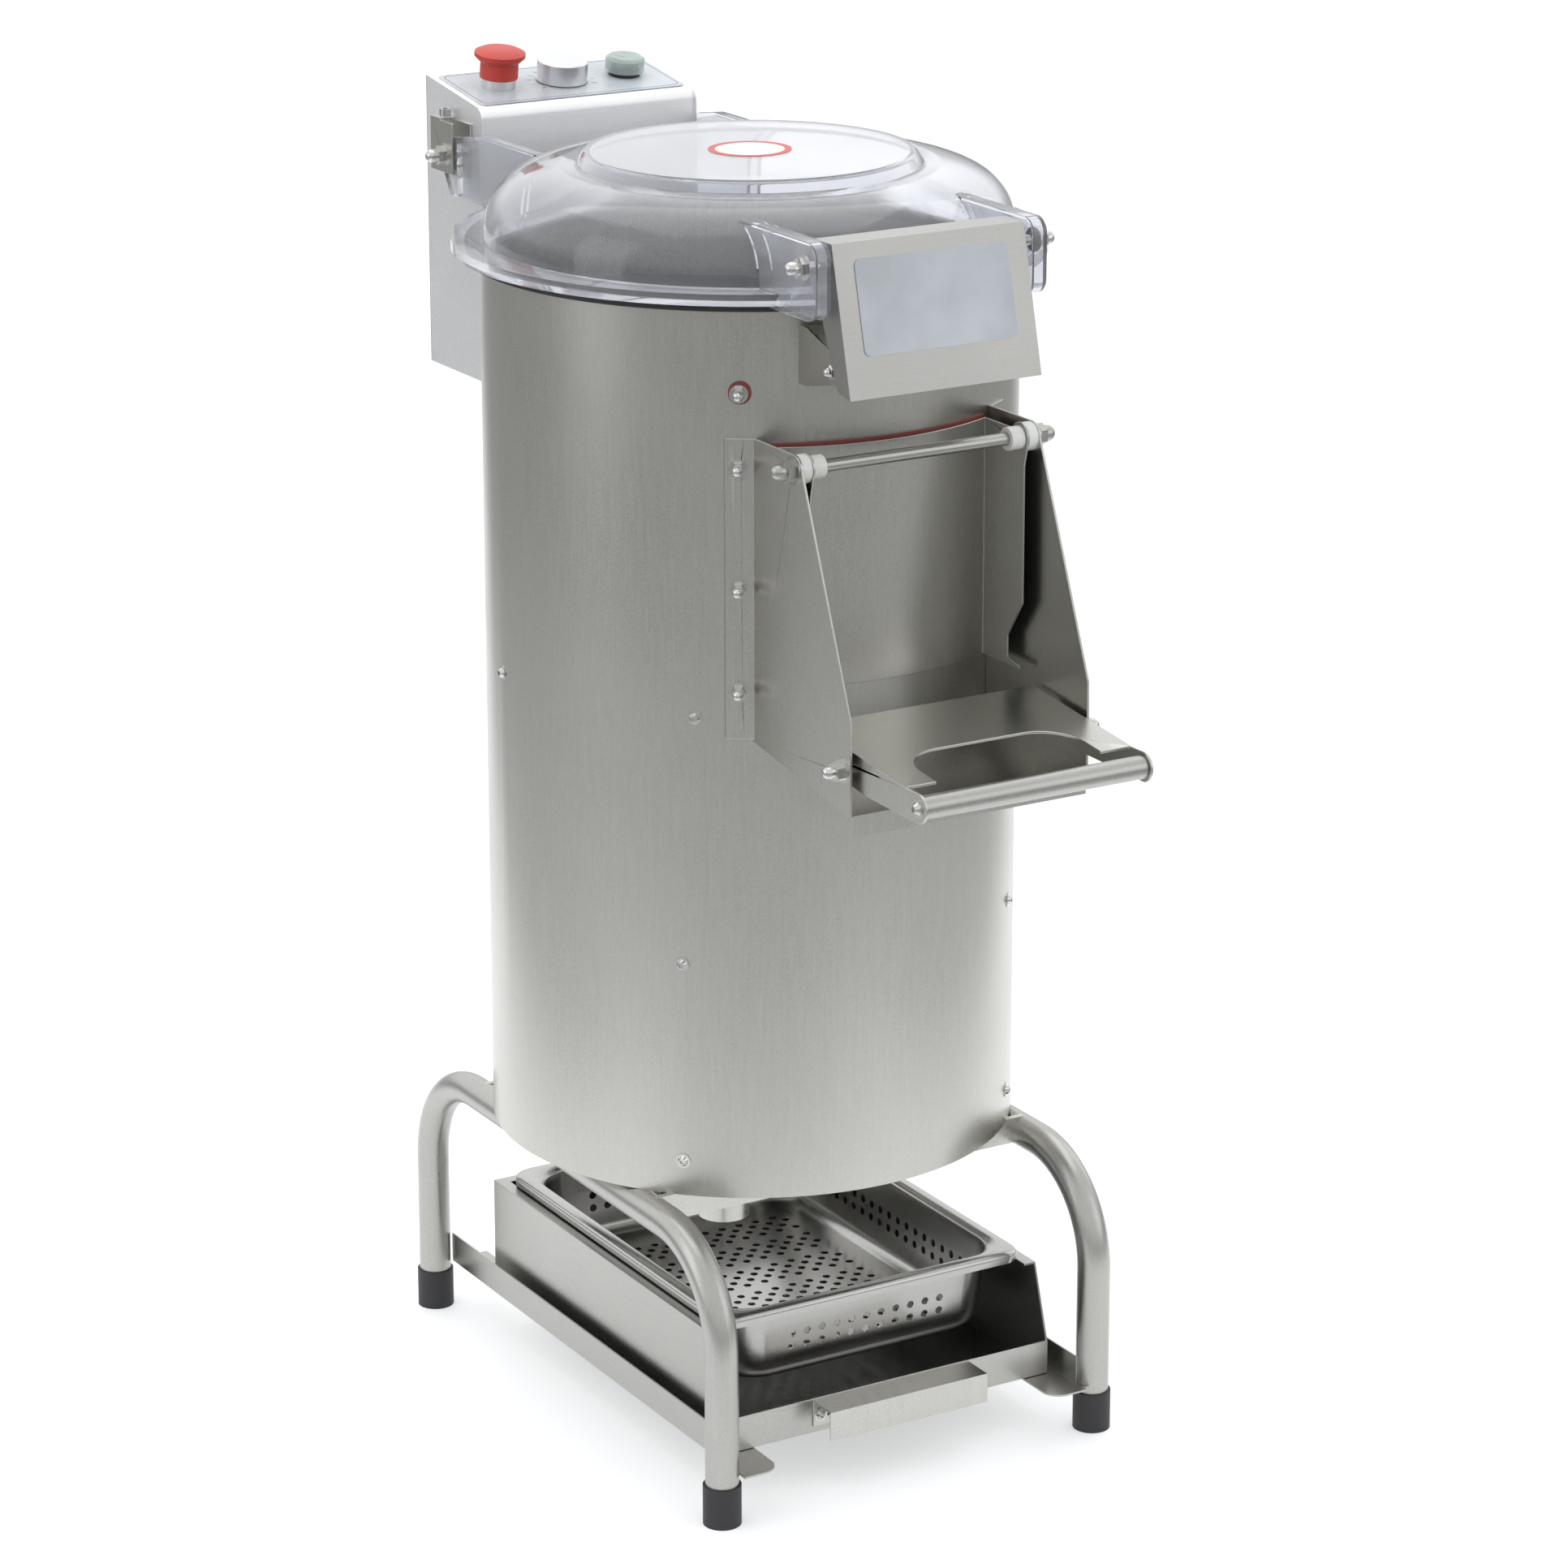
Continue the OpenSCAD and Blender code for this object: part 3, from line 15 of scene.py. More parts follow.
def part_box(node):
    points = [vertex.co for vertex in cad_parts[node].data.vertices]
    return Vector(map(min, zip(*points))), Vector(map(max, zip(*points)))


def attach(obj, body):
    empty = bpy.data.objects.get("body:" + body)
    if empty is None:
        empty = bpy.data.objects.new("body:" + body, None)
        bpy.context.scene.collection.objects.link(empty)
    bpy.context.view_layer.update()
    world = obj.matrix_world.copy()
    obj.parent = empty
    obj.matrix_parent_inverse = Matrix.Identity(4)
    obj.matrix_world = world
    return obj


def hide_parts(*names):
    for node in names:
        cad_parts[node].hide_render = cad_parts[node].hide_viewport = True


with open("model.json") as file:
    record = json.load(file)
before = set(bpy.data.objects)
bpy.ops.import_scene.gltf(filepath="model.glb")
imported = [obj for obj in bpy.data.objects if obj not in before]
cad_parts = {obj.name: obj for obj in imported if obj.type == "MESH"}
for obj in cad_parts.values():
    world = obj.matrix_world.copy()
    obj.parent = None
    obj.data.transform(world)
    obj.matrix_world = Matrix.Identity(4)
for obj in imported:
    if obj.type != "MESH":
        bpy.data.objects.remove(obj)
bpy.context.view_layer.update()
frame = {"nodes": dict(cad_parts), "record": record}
MM = 0.001
SLOT_OF = {part["node"]: part["material_slot"] for part in frame["record"]["subparts"]}


# ---- Materials ----


class Finish:
    """One procedural material, with short calls for the nodes it is made of."""

    def __init__(self, name):
        self.material = bpy.data.materials.new(name)
        self.material.use_nodes = True
        self.tree = self.material.node_tree
        self.shader = self.tree.nodes["Principled BSDF"]
        self.coords = self.tree.nodes.new("ShaderNodeTexCoord").outputs["Object"]

    def set(self, **values):
        for socket, value in values.items():
            self.shader.inputs[socket.replace("_", " ")].default_value = value

    def link(self, output, socket):
        self.tree.links.new(output, self.shader.inputs[socket])

    def stretched(self, scale):
        node = self.tree.nodes.new("ShaderNodeMapping")
        node.inputs["Scale"].default_value = scale
        self.tree.links.new(self.coords, node.inputs["Vector"])
        return node.outputs["Vector"]

    def noise(self, scale, detail=2.0, stretch=None):
        node = self.tree.nodes.new("ShaderNodeTexNoise")
        node.inputs["Scale"].default_value = scale
        node.inputs["Detail"].default_value = detail
        self.tree.links.new(self.stretched(stretch) if stretch else self.coords, node.inputs["Vector"])
        return node.outputs["Fac"]

    def cells(self, scale):
        node = self.tree.nodes.new("ShaderNodeTexVoronoi")
        node.inputs["Scale"].default_value = scale
        self.tree.links.new(self.coords, node.inputs["Vector"])
        return node.outputs["Distance"]

    def tones(self, factor, dark, light, low=0.35, high=0.65):
        node = self.tree.nodes.new("ShaderNodeValToRGB")
        ends = node.color_ramp.elements
        ends[0].position, ends[0].color = low, (*dark, 1)
        ends[1].position, ends[1].color = high, (*light, 1)
        self.tree.links.new(factor, node.inputs["Fac"])
        return node.outputs["Color"]

    def spread(self, factor, low, high):
        node = self.tree.nodes.new("ShaderNodeMapRange")
        node.inputs["From Min"].default_value = 0.3
        node.inputs["From Max"].default_value = 0.7
        node.inputs["To Min"].default_value = low
        node.inputs["To Max"].default_value = high
        self.tree.links.new(factor, node.inputs["Value"])
        return node.outputs["Result"]

    def math(self, kind, a, b):
        node = self.tree.nodes.new("ShaderNodeMath")
        node.operation = kind
        for socket, value in zip(node.inputs, (a, b)):
            if isinstance(value, (int, float)):
                socket.default_value = value
            else:
                self.tree.links.new(value, socket)
        return node.outputs["Value"]

    def bump(self, height, strength, distance):
        node = self.tree.nodes.new("ShaderNodeBump")
        node.inputs["Strength"].default_value = strength
        node.inputs["Distance"].default_value = distance
        self.tree.links.new(height, node.inputs["Height"])
        self.link(node.outputs["Normal"], "Normal")


def tinted(color, factor):
    return tuple(channel * factor for channel in color)


def metal(name, color, roughness, grain, depth=0.03, vary=0.07):
    """Sheet or turned metal: speckle, faint grain stretched along one axis, and broad smudges."""
    f = Finish(name)
    streaks = f.noise(500, 2, grain)
    speckle = f.noise(1100, 2)
    smudges = f.noise(7, 4)
    mixed = f.math("ADD", f.math("MULTIPLY", streaks, 0.25), f.math("MULTIPLY", speckle, 0.75))
    f.set(Metallic=1.0)
    f.link(f.tones(mixed, tinted(color, 1 - vary), tinted(color, 1 + vary), 0.36, 0.64), "Base Color")
    f.link(f.math("ADD", f.spread(mixed, roughness - 0.04, roughness + 0.04),
                  f.spread(smudges, -0.03, 0.04)), "Roughness")
    f.bump(mixed, depth, 0.1 * MM)
    return f


def plain(name, color, roughness, speckle_scale=900, depth=0.05, vary=0.12):
    """Plastic, rubber or paint: slight colour and gloss variation over a fine skin texture."""
    f = Finish(name)
    fine = f.noise(speckle_scale, 3)
    broad = f.noise(14, 4)
    f.link(f.tones(broad, tinted(color, 1 - vary), tinted(color, 1 + vary)), "Base Color")
    f.link(f.math("ADD", f.spread(fine, roughness - 0.04, roughness + 0.04),
                  f.spread(broad, -0.04, 0.04)), "Roughness")
    f.bump(fine, depth, 0.2 * MM)
    return f


def clear(name, color, roughness, ior, clarity=1.0):
    f = Finish(name)
    f.set(Transmission_Weight=clarity, IOR=ior)
    f.link(f.tones(f.noise(30, 3), tinted(color, 0.985), color), "Base Color")
    f.link(f.spread(f.noise(60, 4), roughness, roughness + 0.03), "Roughness")
    f.bump(f.noise(25, 2), 0.02, 0.2 * MM)
    return f


STEEL = (0.55, 0.545, 0.512)
ALONG_X, ALONG_Y, ALONG_Z = (0.05, 1, 1), (1, 0.05, 1), (1, 1, 0.05)


def grit(name):
    f = Finish(name)
    grains = f.cells(900)
    f.link(f.tones(f.noise(700, 3), (0.012, 0.013, 0.015), (0.060, 0.062, 0.068)), "Base Color")
    f.link(f.spread(f.noise(300, 2), 0.45, 0.75), "Roughness")
    f.bump(grains, 0.5, 0.6 * MM)
    return f


FINISHES = {
    "brushed_steel": metal("brushed_steel", STEEL, 0.30, ALONG_Z),
    "bright_steel": metal("bright_steel", (0.62, 0.615, 0.60), 0.15, ALONG_X, 0.005),
    "foot_rubber": plain("foot_rubber", (0.020, 0.020, 0.022), 0.55),
    "gasket_rubber": plain("gasket_rubber", (0.016, 0.016, 0.019), 0.38),
    "seal_red": plain("seal_red", (0.22, 0.045, 0.035), 0.55),
    # The lid lets 89 per cent of the light through and the rest is diffuse white, a painted reflection of
    # white light from above that makes it look milky
    "clear_plastic": clear("clear_plastic", (0.945, 0.955, 0.992), 0.02, 1.49, 0.89),
    "abrasive": grit("abrasive"),
    "cast_housing": plain("cast_housing", (0.20, 0.21, 0.22), 0.6, 500, 0.25),
    "machined_steel": metal("machined_steel", (0.50, 0.50, 0.50), 0.25, ALONG_X),
    "belt_rubber": plain("belt_rubber", (0.018, 0.018, 0.018), 0.65),
    "motor_paint": plain("motor_paint", (0.045, 0.060, 0.080), 0.42, 500, 0.12),
    "panel_foil": plain("panel_foil", (0.54, 0.58, 0.62), 0.30),
    "aluminium": metal("aluminium", (0.76, 0.765, 0.775), 0.34, ALONG_X, 0.01, 0.04),
    "stop_red": plain("stop_red", (0.58, 0.055, 0.040), 0.42, 1500, 0.12),
    "start_green": plain("start_green", (0.50, 0.66, 0.57), 0.32),
    "dark_plastic": plain("dark_plastic", (0.018, 0.018, 0.022), 0.4),
    "soft_clear": clear("soft_clear", (0.80, 0.87, 0.85), 0.22, 1.42, 0.72),
    "nylon": plain("nylon", (0.80, 0.80, 0.77), 0.38),
    "badge_red": plain("badge_red", (0.62, 0.09, 0.07), 0.4),
}
FINISHES["nylon"].set(Subsurface_Weight=0.4, Subsurface_Scale=0.004)
FILM_WHITE = plain("film_white", (0.78, 0.78, 0.78), 0.4)
PRINT_DARK = plain("print_dark", (0.09, 0.09, 0.10), 0.45)
TUBE_STEEL = metal("tube_steel", (0.45, 0.446, 0.425), 0.31, ALONG_Z, 0.02)
# Lit copy of the steel for the control box: a near-white base colour, a painted reflection of bright light
# on its front
LIT_BOX_STEEL = metal("lit_box_steel", (0.93, 0.935, 0.94), 0.48, ALONG_X, 0.02, 0.04)
LATCH_STEEL = metal("latch_steel", (0.44, 0.436, 0.42), 0.32, ALONG_X, 0.02)
TRAY_STEEL = metal("tray_steel", (0.45, 0.446, 0.425), 0.30, ALONG_Y, 0.02)
PAN_STEEL = metal("pan_steel", (0.46, 0.455, 0.44), 0.20, ALONG_X, 0.01)

SPECIAL = {
    "left_leg_frame": TUBE_STEEL, "right_leg_frame": TUBE_STEEL, "lever_handle": TUBE_STEEL,
    "door_rod": TUBE_STEEL, "control_box": LIT_BOX_STEEL, "latch_housing": LATCH_STEEL,
    "waste_tray": TRAY_STEEL, "left_tray_rail": TRAY_STEEL, "right_tray_rail": TRAY_STEEL,
}
for node, thing in frame["nodes"].items():
    finish = SPECIAL.get(node, FINISHES[SLOT_OF[node]])
    thing.data.materials.clear()
    thing.data.materials.append(finish.material)


# ---- Edges ----

SHARP_ANGLE = math.radians(30)


def normals_by_angle():
    """Geometry nodes that weld the imported mesh and keep only edges over 30 degrees sharp."""
    group = bpy.data.node_groups.new("normals_by_angle", "GeometryNodeTree")
    group.interface.new_socket("Geometry", in_out="INPUT", socket_type="NodeSocketGeometry")
    group.interface.new_socket("Geometry", in_out="OUTPUT", socket_type="NodeSocketGeometry")
    new, link = group.nodes.new, group.links.new
    start, end = new("NodeGroupInput"), new("NodeGroupOutput")
    weld = new("GeometryNodeMergeByDistance")
    weld.inputs["Distance"].default_value = 0.002 * MM
    angle = new("GeometryNodeInputMeshEdgeAngle")
    sharp = new("FunctionNodeCompare")
    sharp.operation = "GREATER_THAN"
    sharp.inputs["B"].default_value = SHARP_ANGLE
    normal = new("GeometryNodeSetMeshNormal")
    normal.mode = "SHARPNESS"
    normal.inputs["Remove Custom"].default_value = True
    link(start.outputs[0], weld.inputs["Geometry"])
    link(weld.outputs["Geometry"], normal.inputs["Mesh"])
    link(angle.outputs["Unsigned Angle"], sharp.inputs["A"])
    link(sharp.outputs["Result"], normal.inputs["Edge Sharpness"])
    link(normal.outputs["Mesh"], end.inputs[0])
    return group


WELDED = normals_by_angle()
SHARP_SPLIT = math.radians(40)
ROUNDED = {
    "waste_tray": 0.5, "tray_pull": 0.6, "lever_plate": 0.6, "chute_left": 0.5, "chute_right": 0.5,
    "latch_housing": 0.5, "discharge_door": 0.5, "control_box": 0.4, "rear_cover": 0.4,
    "left_hinge_bracket": 0.5, "right_hinge_bracket": 0.5, "catch_bracket": 0.5, "lid": 0.8,
    "left_tray_rail": 0.5, "right_tray_rail": 0.5, "rim_gasket": 1.2, "rubber_feet": 1.2,
    "timer_knob": 0.5, "stop_button": 1.2, "start_cap": 1.0, "lever_handle": 1.0,
}
for node, width in ROUNDED.items():
    thing = frame["nodes"][node]
    clean = thing.modifiers.new("weld", "NODES")
    clean.node_group = WELDED
    edge = thing.modifiers.new("edge", "BEVEL")
    edge.width = width * MM
    edge.segments = 3
    edge.limit_method = "ANGLE"
    edge.angle_limit = SHARP_ANGLE
    edge.harden_normals = True


# ---- Pieces ----


def piece(name, mesh, finish, body, smooth=True):
    thing = bpy.data.objects.new(name, mesh)
    bpy.context.scene.collection.objects.link(thing)
    mesh.materials.append(finish.material)
    for face in mesh.polygons:
        face.use_smooth = smooth
    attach(thing, body)
    return thing


def round_rect(half_x, half_y, radius, steps):
    """Points of a rounded rectangle, anticlockwise, with steps segments in each corner."""
    points = []
    for quarter, (sx, sy) in enumerate([(1, 1), (-1, 1), (-1, -1), (1, -1)]):
        for i in range(steps + 1):
            turn = math.radians(90 * quarter + 90 * i / steps)
            points.append(((sx * (half_x - radius)) + radius * math.cos(turn),
                           (sy * (half_y - radius)) + radius * math.sin(turn)))
    return points


def inside(point, loop):
    """True if point is in the closed loop, by counting the sides that a ray crosses."""
    x, y = point
    found = False
    for (ax, ay), (bx, by) in zip(loop, loop[1:] + loop[:1]):
        if (ay > y) != (by > y) and x < (bx - ax) * (y - ay) / (by - ay) + ax:
            found = not found
    return found


def perforated(outline, holes):
    """Flat triangles inside an outline and outside its holes."""
    points, edges = [], []
    for loop in [outline, *holes]:
        first, count = len(points), len(loop)
        points += [Vector(p) for p in loop]
        edges += [(first + i, first + (i + 1) % count) for i in range(count)]
    found = delaunay_2d_cdt(points, edges, [], 1, 1e-9)
    flat, triangles = found[0], found[2]
    boxes = [(min(x for x, _ in h), max(x for x, _ in h), min(y for _, y in h), max(y for _, y in h), h)
             for h in holes]
    kept = []
    for triangle in triangles:
        x = sum(flat[k].x for k in triangle) / 3
        y = sum(flat[k].y for k in triangle) / 3
        if not any(x0 < x < x1 and y0 < y < y1 and inside((x, y), h) for x0, x1, y0, y1, h in boxes):
            kept.append(triangle)
    return flat, kept


def circle_points(x, y, radius, steps=14):
    return [(x + radius * math.cos(2 * math.pi * i / steps), y + radius * math.sin(2 * math.pi * i / steps))
            for i in range(steps)]


def add_sheet(mesh, outline, holes, place):
    """Add a flat sheet with holes to a mesh; place turns each flat point into its own place."""
    flat, faces = perforated(outline, holes)
    made = [mesh.verts.new(place(p)) for p in flat]
    for face in faces:
        mesh.faces.new([made[k] for k in face])


# ---- Strainer pan ----

PAN_SHEET, PAN_FLANGE, PAN_CORNER = 0.9 * MM, 13 * MM, 14 * MM
ROLL_R, BEND_R, FILLET_R = 4 * MM, 5 * MM, 12 * MM
HOLE_R, WALL_PITCH = 3.1 * MM, 13 * MM
FLOOR_PITCH_X, FLOOR_PITCH_Y = 15.5 * MM, 8.2 * MM
PLAIN_EDGE, PLAIN_FLOOR = 12 * MM, 30 * MM
CORNER_STEPS = 8


def pan_profile(top, bottom):
    """Inset and height of each ring from the rim's hem to the floor, and the holed band's number."""
    hem = [(0.4 * MM, top - 8.5 * MM), (0, top - 4.5 * MM)]
    roll = [(ROLL_R * (1 - math.cos(math.radians(a))), top - ROLL_R + ROLL_R * math.sin(math.radians(a)))
            for a in (22, 45, 68, 90)]
    bend = [(PAN_FLANGE - BEND_R + BEND_R * math.sin(math.radians(a)),
             top - BEND_R + BEND_R * math.cos(math.radians(a))) for a in (0, 22, 45, 68, 86)]
    wall = [(PAN_FLANGE + inset * MM, top - drop * MM) for inset, drop in ((0.2, 9), (1.6, 24), (3.2, 46))]
    fillet = [(PAN_FLANGE + 4 * MM + FILLET_R * (1 - math.cos(math.radians(a))),
               bottom + FILLET_R - FILLET_R * math.sin(math.radians(a))) for a in (8, 26, 44, 62, 78, 90)]
    rings = hem + roll + bend + wall + fillet
    return rings, rings.index(wall[1])


def pan_wall(mesh, corners):
    """One flat wall between two rings, with two rows of drain holes."""
    a, b, c, d = corners
    across = (b - a).normalized()
    down = (d + c) / 2 - (a + b) / 2
    fall = down.normalized()
    width, drop = (b - a).length, down.length
    lean = (d - a).dot(across)
    columns = int((width - 2 * PLAIN_EDGE) / WALL_PITCH)
    first = (width - (columns - 1) * WALL_PITCH) / 2
    holes = [circle_points(first + k * WALL_PITCH, drop * share, HOLE_R)
             for k in range(columns) for share in (0.26, 0.74)]
    outline = [(0, 0), (width, 0), (width - lean, drop), (lean, drop)]
    add_sheet(mesh, outline, holes, lambda p: a + across * p.x + fall * p.y)


def pan_floor(mesh, outline, centre, z, reach_x, reach_y):
    """The floor, with staggered holes in groups of four rows and a plain row between groups."""
    holes = []
    for j in range(-30, 31):
        for i in range(-20, 21):
            x, y = (i + 0.5 * (j % 2)) * FLOOR_PITCH_X, j * FLOOR_PITCH_Y
            if abs(x) < reach_x and abs(y) < reach_y and j % 5 != 0:
                holes.append(circle_points(x, y, HOLE_R, 12))
    add_sheet(mesh, outline, holes, lambda p: (centre.x + p.x, centre.y + p.y, z))


def strainer_pan():
    """Drawn pan: rolled rim, drafted walls with two rows of holes and a perforated floor."""
    low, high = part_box("strainer_pan")
    centre = (low + high) / 2
    half_x, half_y = (high.x - low.x) / 2, (high.y - low.y) / 2
    rings, band = pan_profile(high.z, low.z)
    mesh = bmesh.new()
    rows = []
    for inset, z in rings:
        radius = PAN_CORNER + min(inset, PAN_FLANGE) * 1.4
        loop = round_rect(half_x - inset, half_y - inset, radius, CORNER_STEPS)
        rows.append([mesh.verts.new((centre.x + x, centre.y + y, z)) for x, y in loop])
    count = len(rows[0])
    holed = []
    for r in range(len(rows) - 1):
        for i in range(count):
            j = (i + 1) % count
            corners = (rows[r][i], rows[r][j], rows[r + 1][j], rows[r + 1][i])
            straight = (i + 1) % (CORNER_STEPS + 1) == 0
            if r == band and straight:
                holed.append([corner.co.copy() for corner in corners])
            else:
                mesh.faces.new(corners)
    for corners in holed:
        pan_wall(mesh, corners)
    outline = [(v.co.x - centre.x, v.co.y - centre.y) for v in rows[-1]]
    plain = PAN_FLANGE + PLAIN_FLOOR
    pan_floor(mesh, outline, centre, rows[-1][0].co.z, half_x - plain, half_y - plain)
    bmesh.ops.remove_doubles(mesh, verts=mesh.verts, dist=0.01 * MM)
    bmesh.ops.recalc_face_normals(mesh, faces=mesh.faces)
    data = bpy.data.meshes.new("pan_body")
    mesh.to_mesh(data)
    mesh.free()
    thing = piece("pan_body", data, PAN_STEEL, "pan")
    thick = thing.modifiers.new("sheet", "SOLIDIFY")
    thick.thickness = PAN_SHEET
    thick.offset = -1
    split = thing.modifiers.new("split", "EDGE_SPLIT")
    split.split_angle = SHARP_SPLIT
    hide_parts("strainer_pan")


strainer_pan()


# ---- Printed films, washer and cap nuts ----


def flat_piece(name, outline, holes, place, height, finish, body):
    """A thin printed or fixed film: an outline with holes, raised by height and put at place."""
    mesh = bmesh.new()
    add_sheet(mesh, outline, holes, lambda p: place @ Vector((p.x, p.y, 0)))
    bmesh.ops.recalc_face_normals(mesh, faces=mesh.faces)
    up = place.to_3x3() @ Vector((0, 0, 1))
    grown = bmesh.ops.extrude_face_region(mesh, geom=mesh.faces[:])
    bmesh.ops.translate(mesh, vec=up * height,
                        verts=[g for g in grown["geom"] if isinstance(g, bmesh.types.BMVert)])
    bmesh.ops.recalc_face_normals(mesh, faces=mesh.faces)
    data = bpy.data.meshes.new(name)
    mesh.to_mesh(data)
    mesh.free()
    return piece(name, data, finish, body, smooth=False)


# Top of the sloped control panel, worked out from the foil's own mesh
foil = frame["nodes"]["panel_overlay"]
top_face = max(foil.data.polygons, key=lambda face: face.normal.z * face.area)
slope = math.atan2(-top_face.normal.y, top_face.normal.z)
foil_low, foil_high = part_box("panel_overlay")
foil_half_x = (foil_high.x - foil_low.x) / 2
foil_half_y = (foil_high.y - foil_low.y) / 2 / math.cos(slope)
foil_centre = Vector(((foil_low.x + foil_high.x) / 2, (foil_low.y + foil_high.y) / 2, 0))
on_face = foil.data.vertices[top_face.vertices[0]].co
foil_centre.z = on_face.z + (foil_centre.y - on_face.y) * math.tan(slope)
PANEL = Matrix.Translation(foil_centre) @ Matrix.Rotation(slope, 4, "X")
PRINT = 0.05 * MM
BORDER_IN, BORDER_R, BORDER_LINE = 3 * MM, 6 * MM, 0.6 * MM
DIAL_R, DIAL_STEPS = 26 * MM, 11
DIAL_START, DIAL_STEP = 210, 24

edge_x, edge_y = foil_half_x - BORDER_IN, foil_half_y - BORDER_IN
flat_piece("panel_border", round_rect(edge_x, edge_y, BORDER_R, 6),
           [round_rect(edge_x - BORDER_LINE, edge_y - BORDER_LINE, BORDER_R - BORDER_LINE, 6)],
           PANEL, PRINT, PRINT_DARK, "base")
for k in range(DIAL_STEPS):
    turn = math.radians(DIAL_START - DIAL_STEP * k)
    tick = PANEL @ Matrix.Rotation(turn, 4, "Z") @ Matrix.Translation((DIAL_R, 0, 0))
    length, width = (4.5 * MM, 0.8 * MM) if k % 2 == 0 else (2.6 * MM, 0.5 * MM)
    flat_piece(f"timer_tick_{k}", round_rect(length / 2, width / 2, 0.2 * MM, 2), [],
               tick, PRINT, PRINT_DARK, "base")

# Blank white film inside the ring on the lid
ring_low, ring_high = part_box("lid_badge")
badge = Matrix.Translation(((ring_low.x + ring_high.x) / 2, (ring_low.y + ring_high.y) / 2, ring_low.z))
flat_piece("badge_film", circle_points(0, 0, 25.8 * MM, 64), [], badge, 0.2 * MM,
           FILM_WHITE, "lid")

# Red washer under the single cap nut on the drum, and cap nuts on the ends of the catch's bar
DRUM_R = 200 * MM
TOP_NUT_BAND = 12 * MM
SUNK = 0.2 * MM
cover_low, cover_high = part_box("bottom_cover")
axis = Vector(((cover_low.x + cover_high.x) / 2, (cover_low.y + cover_high.y) / 2, 0))
nuts_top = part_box("chute_nuts")[1].z
cluster = [v.co for v in frame["nodes"]["chute_nuts"].data.vertices if v.co.z > nuts_top - TOP_NUT_BAND]
nut = Vector([(min(p[k] for p in cluster) + max(p[k] for p in cluster)) / 2 for k in range(3)])
outward = Vector((nut.x - axis.x, nut.y - axis.y, 0)).normalized()
seat = axis + outward * (DRUM_R - SUNK) + Vector((0, 0, nut.z))
facing = Matrix.Translation(seat) @ outward.to_track_quat("Z", "Y").to_matrix().to_4x4()
flat_piece("nut_washer", circle_points(0, 0, 8.4 * MM, 40), [circle_points(0, 0, 3 * MM, 24)],
           facing, 1.2 * MM, FINISHES["seal_red"], "base")


def cap_nut(name, place, radius):
    """Hexagon with a dome on top, seated at place and pointing along its Z."""
    mesh = bmesh.new()
    bmesh.ops.create_cone(mesh, cap_ends=True, segments=6, radius1=radius, radius2=radius,
                          depth=0.8 * radius, matrix=Matrix.Translation((0, 0, 0.4 * radius)))
    bmesh.ops.create_uvsphere(mesh, u_segments=24, v_segments=12, radius=0.8 * radius,
                              matrix=Matrix.Translation((0, 0, 0.8 * radius)))
    mesh.transform(place)
    data = bpy.data.meshes.new(name)
    mesh.to_mesh(data)
    mesh.free()
    thing = piece(name, data, FINISHES["bright_steel"], "base")
    split = thing.modifiers.new("split", "EDGE_SPLIT")
    split.split_angle = SHARP_SPLIT


catch_low, catch_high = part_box("catch_bracket")
# Middle of the bar's end, from the lower front corner of the bracket's box
BAR_OUT, BAR_UP = 10 * MM, 18 * MM
for name, x, way in (("left_catch_nut", catch_low.x, -1), ("right_catch_nut", catch_high.x, 1)):
    end = Vector((x, catch_low.y + BAR_OUT, catch_low.z + BAR_UP))
    turned_out = Vector((way, 0, 0)).to_track_quat("Z", "Y").to_matrix().to_4x4()
    cap_nut(name, Matrix.Translation(end) @ turned_out, 5 * MM)


# ---- Stage ----

FLOOR_REACH = 14
floor_mesh = bpy.data.meshes.new("floor")
corners = [(x * FLOOR_REACH, y * FLOOR_REACH, 0) for x, y in ((-1, -1), (1, -1), (1, 1), (-1, 1))]
floor_mesh.from_pydata(corners, [], [(0, 1, 2, 3)])
floor = bpy.data.objects.new("floor", floor_mesh)
bpy.context.scene.collection.objects.link(floor)
# Floor material that paints its own light: it glows, and is brightest on a strip behind the appliance and
# close around it
glowing_floor = Finish("floor_painted_glow")


def along(direction):
    """Distance of a floor point from the origin along one horizontal direction."""
    node = glowing_floor.tree.nodes.new("ShaderNodeVectorMath")
    node.operation = "DOT_PRODUCT"
    node.inputs[1].default_value = (*direction, 0)
    glowing_floor.tree.links.new(glowing_floor.coords, node.inputs[0])
    return node.outputs["Value"]


def eased(value, start, end):
    """0 at start, 1 at end, with a smooth step between."""
    node = glowing_floor.tree.nodes.new("ShaderNodeMapRange")
    node.interpolation_type = "SMOOTHSTEP"
    node.inputs["From Min"].default_value = start
    node.inputs["From Max"].default_value = end
    glowing_floor.tree.links.new(value, node.inputs["Value"])
    return node.outputs["Result"]


# Painted light on the floor: a glowing white strip running back from the appliance and a painted pool of
# light around it; the floor beside it falls off to grey
STRIP_SPREAD = 0.16
deep, wide = along((0.5, 0.866)), along((0.866, -0.5))
off_strip = glowing_floor.math("SUBTRACT", glowing_floor.math("ABSOLUTE", wide, 0),
                       glowing_floor.math("MULTIPLY", deep, STRIP_SPREAD))
painted_light_strip = glowing_floor.math("MULTIPLY", eased(off_strip, 1.25, 0.68), eased(deep, -1.3, -0.4))
distance = glowing_floor.math("SQRT", glowing_floor.math("ADD", glowing_floor.math("MULTIPLY", deep, deep),
                                         glowing_floor.math("MULTIPLY", wide, wide)), 0)
painted_light_level = glowing_floor.math("MAXIMUM", painted_light_strip, glowing_floor.math("MULTIPLY", eased(distance, 3.2, 0.8), 0.30))
glowing_floor.link(glowing_floor.tones(painted_light_level, (0.28, 0.28, 0.28), (0.80, 0.805, 0.81), 0, 1), "Base Color")
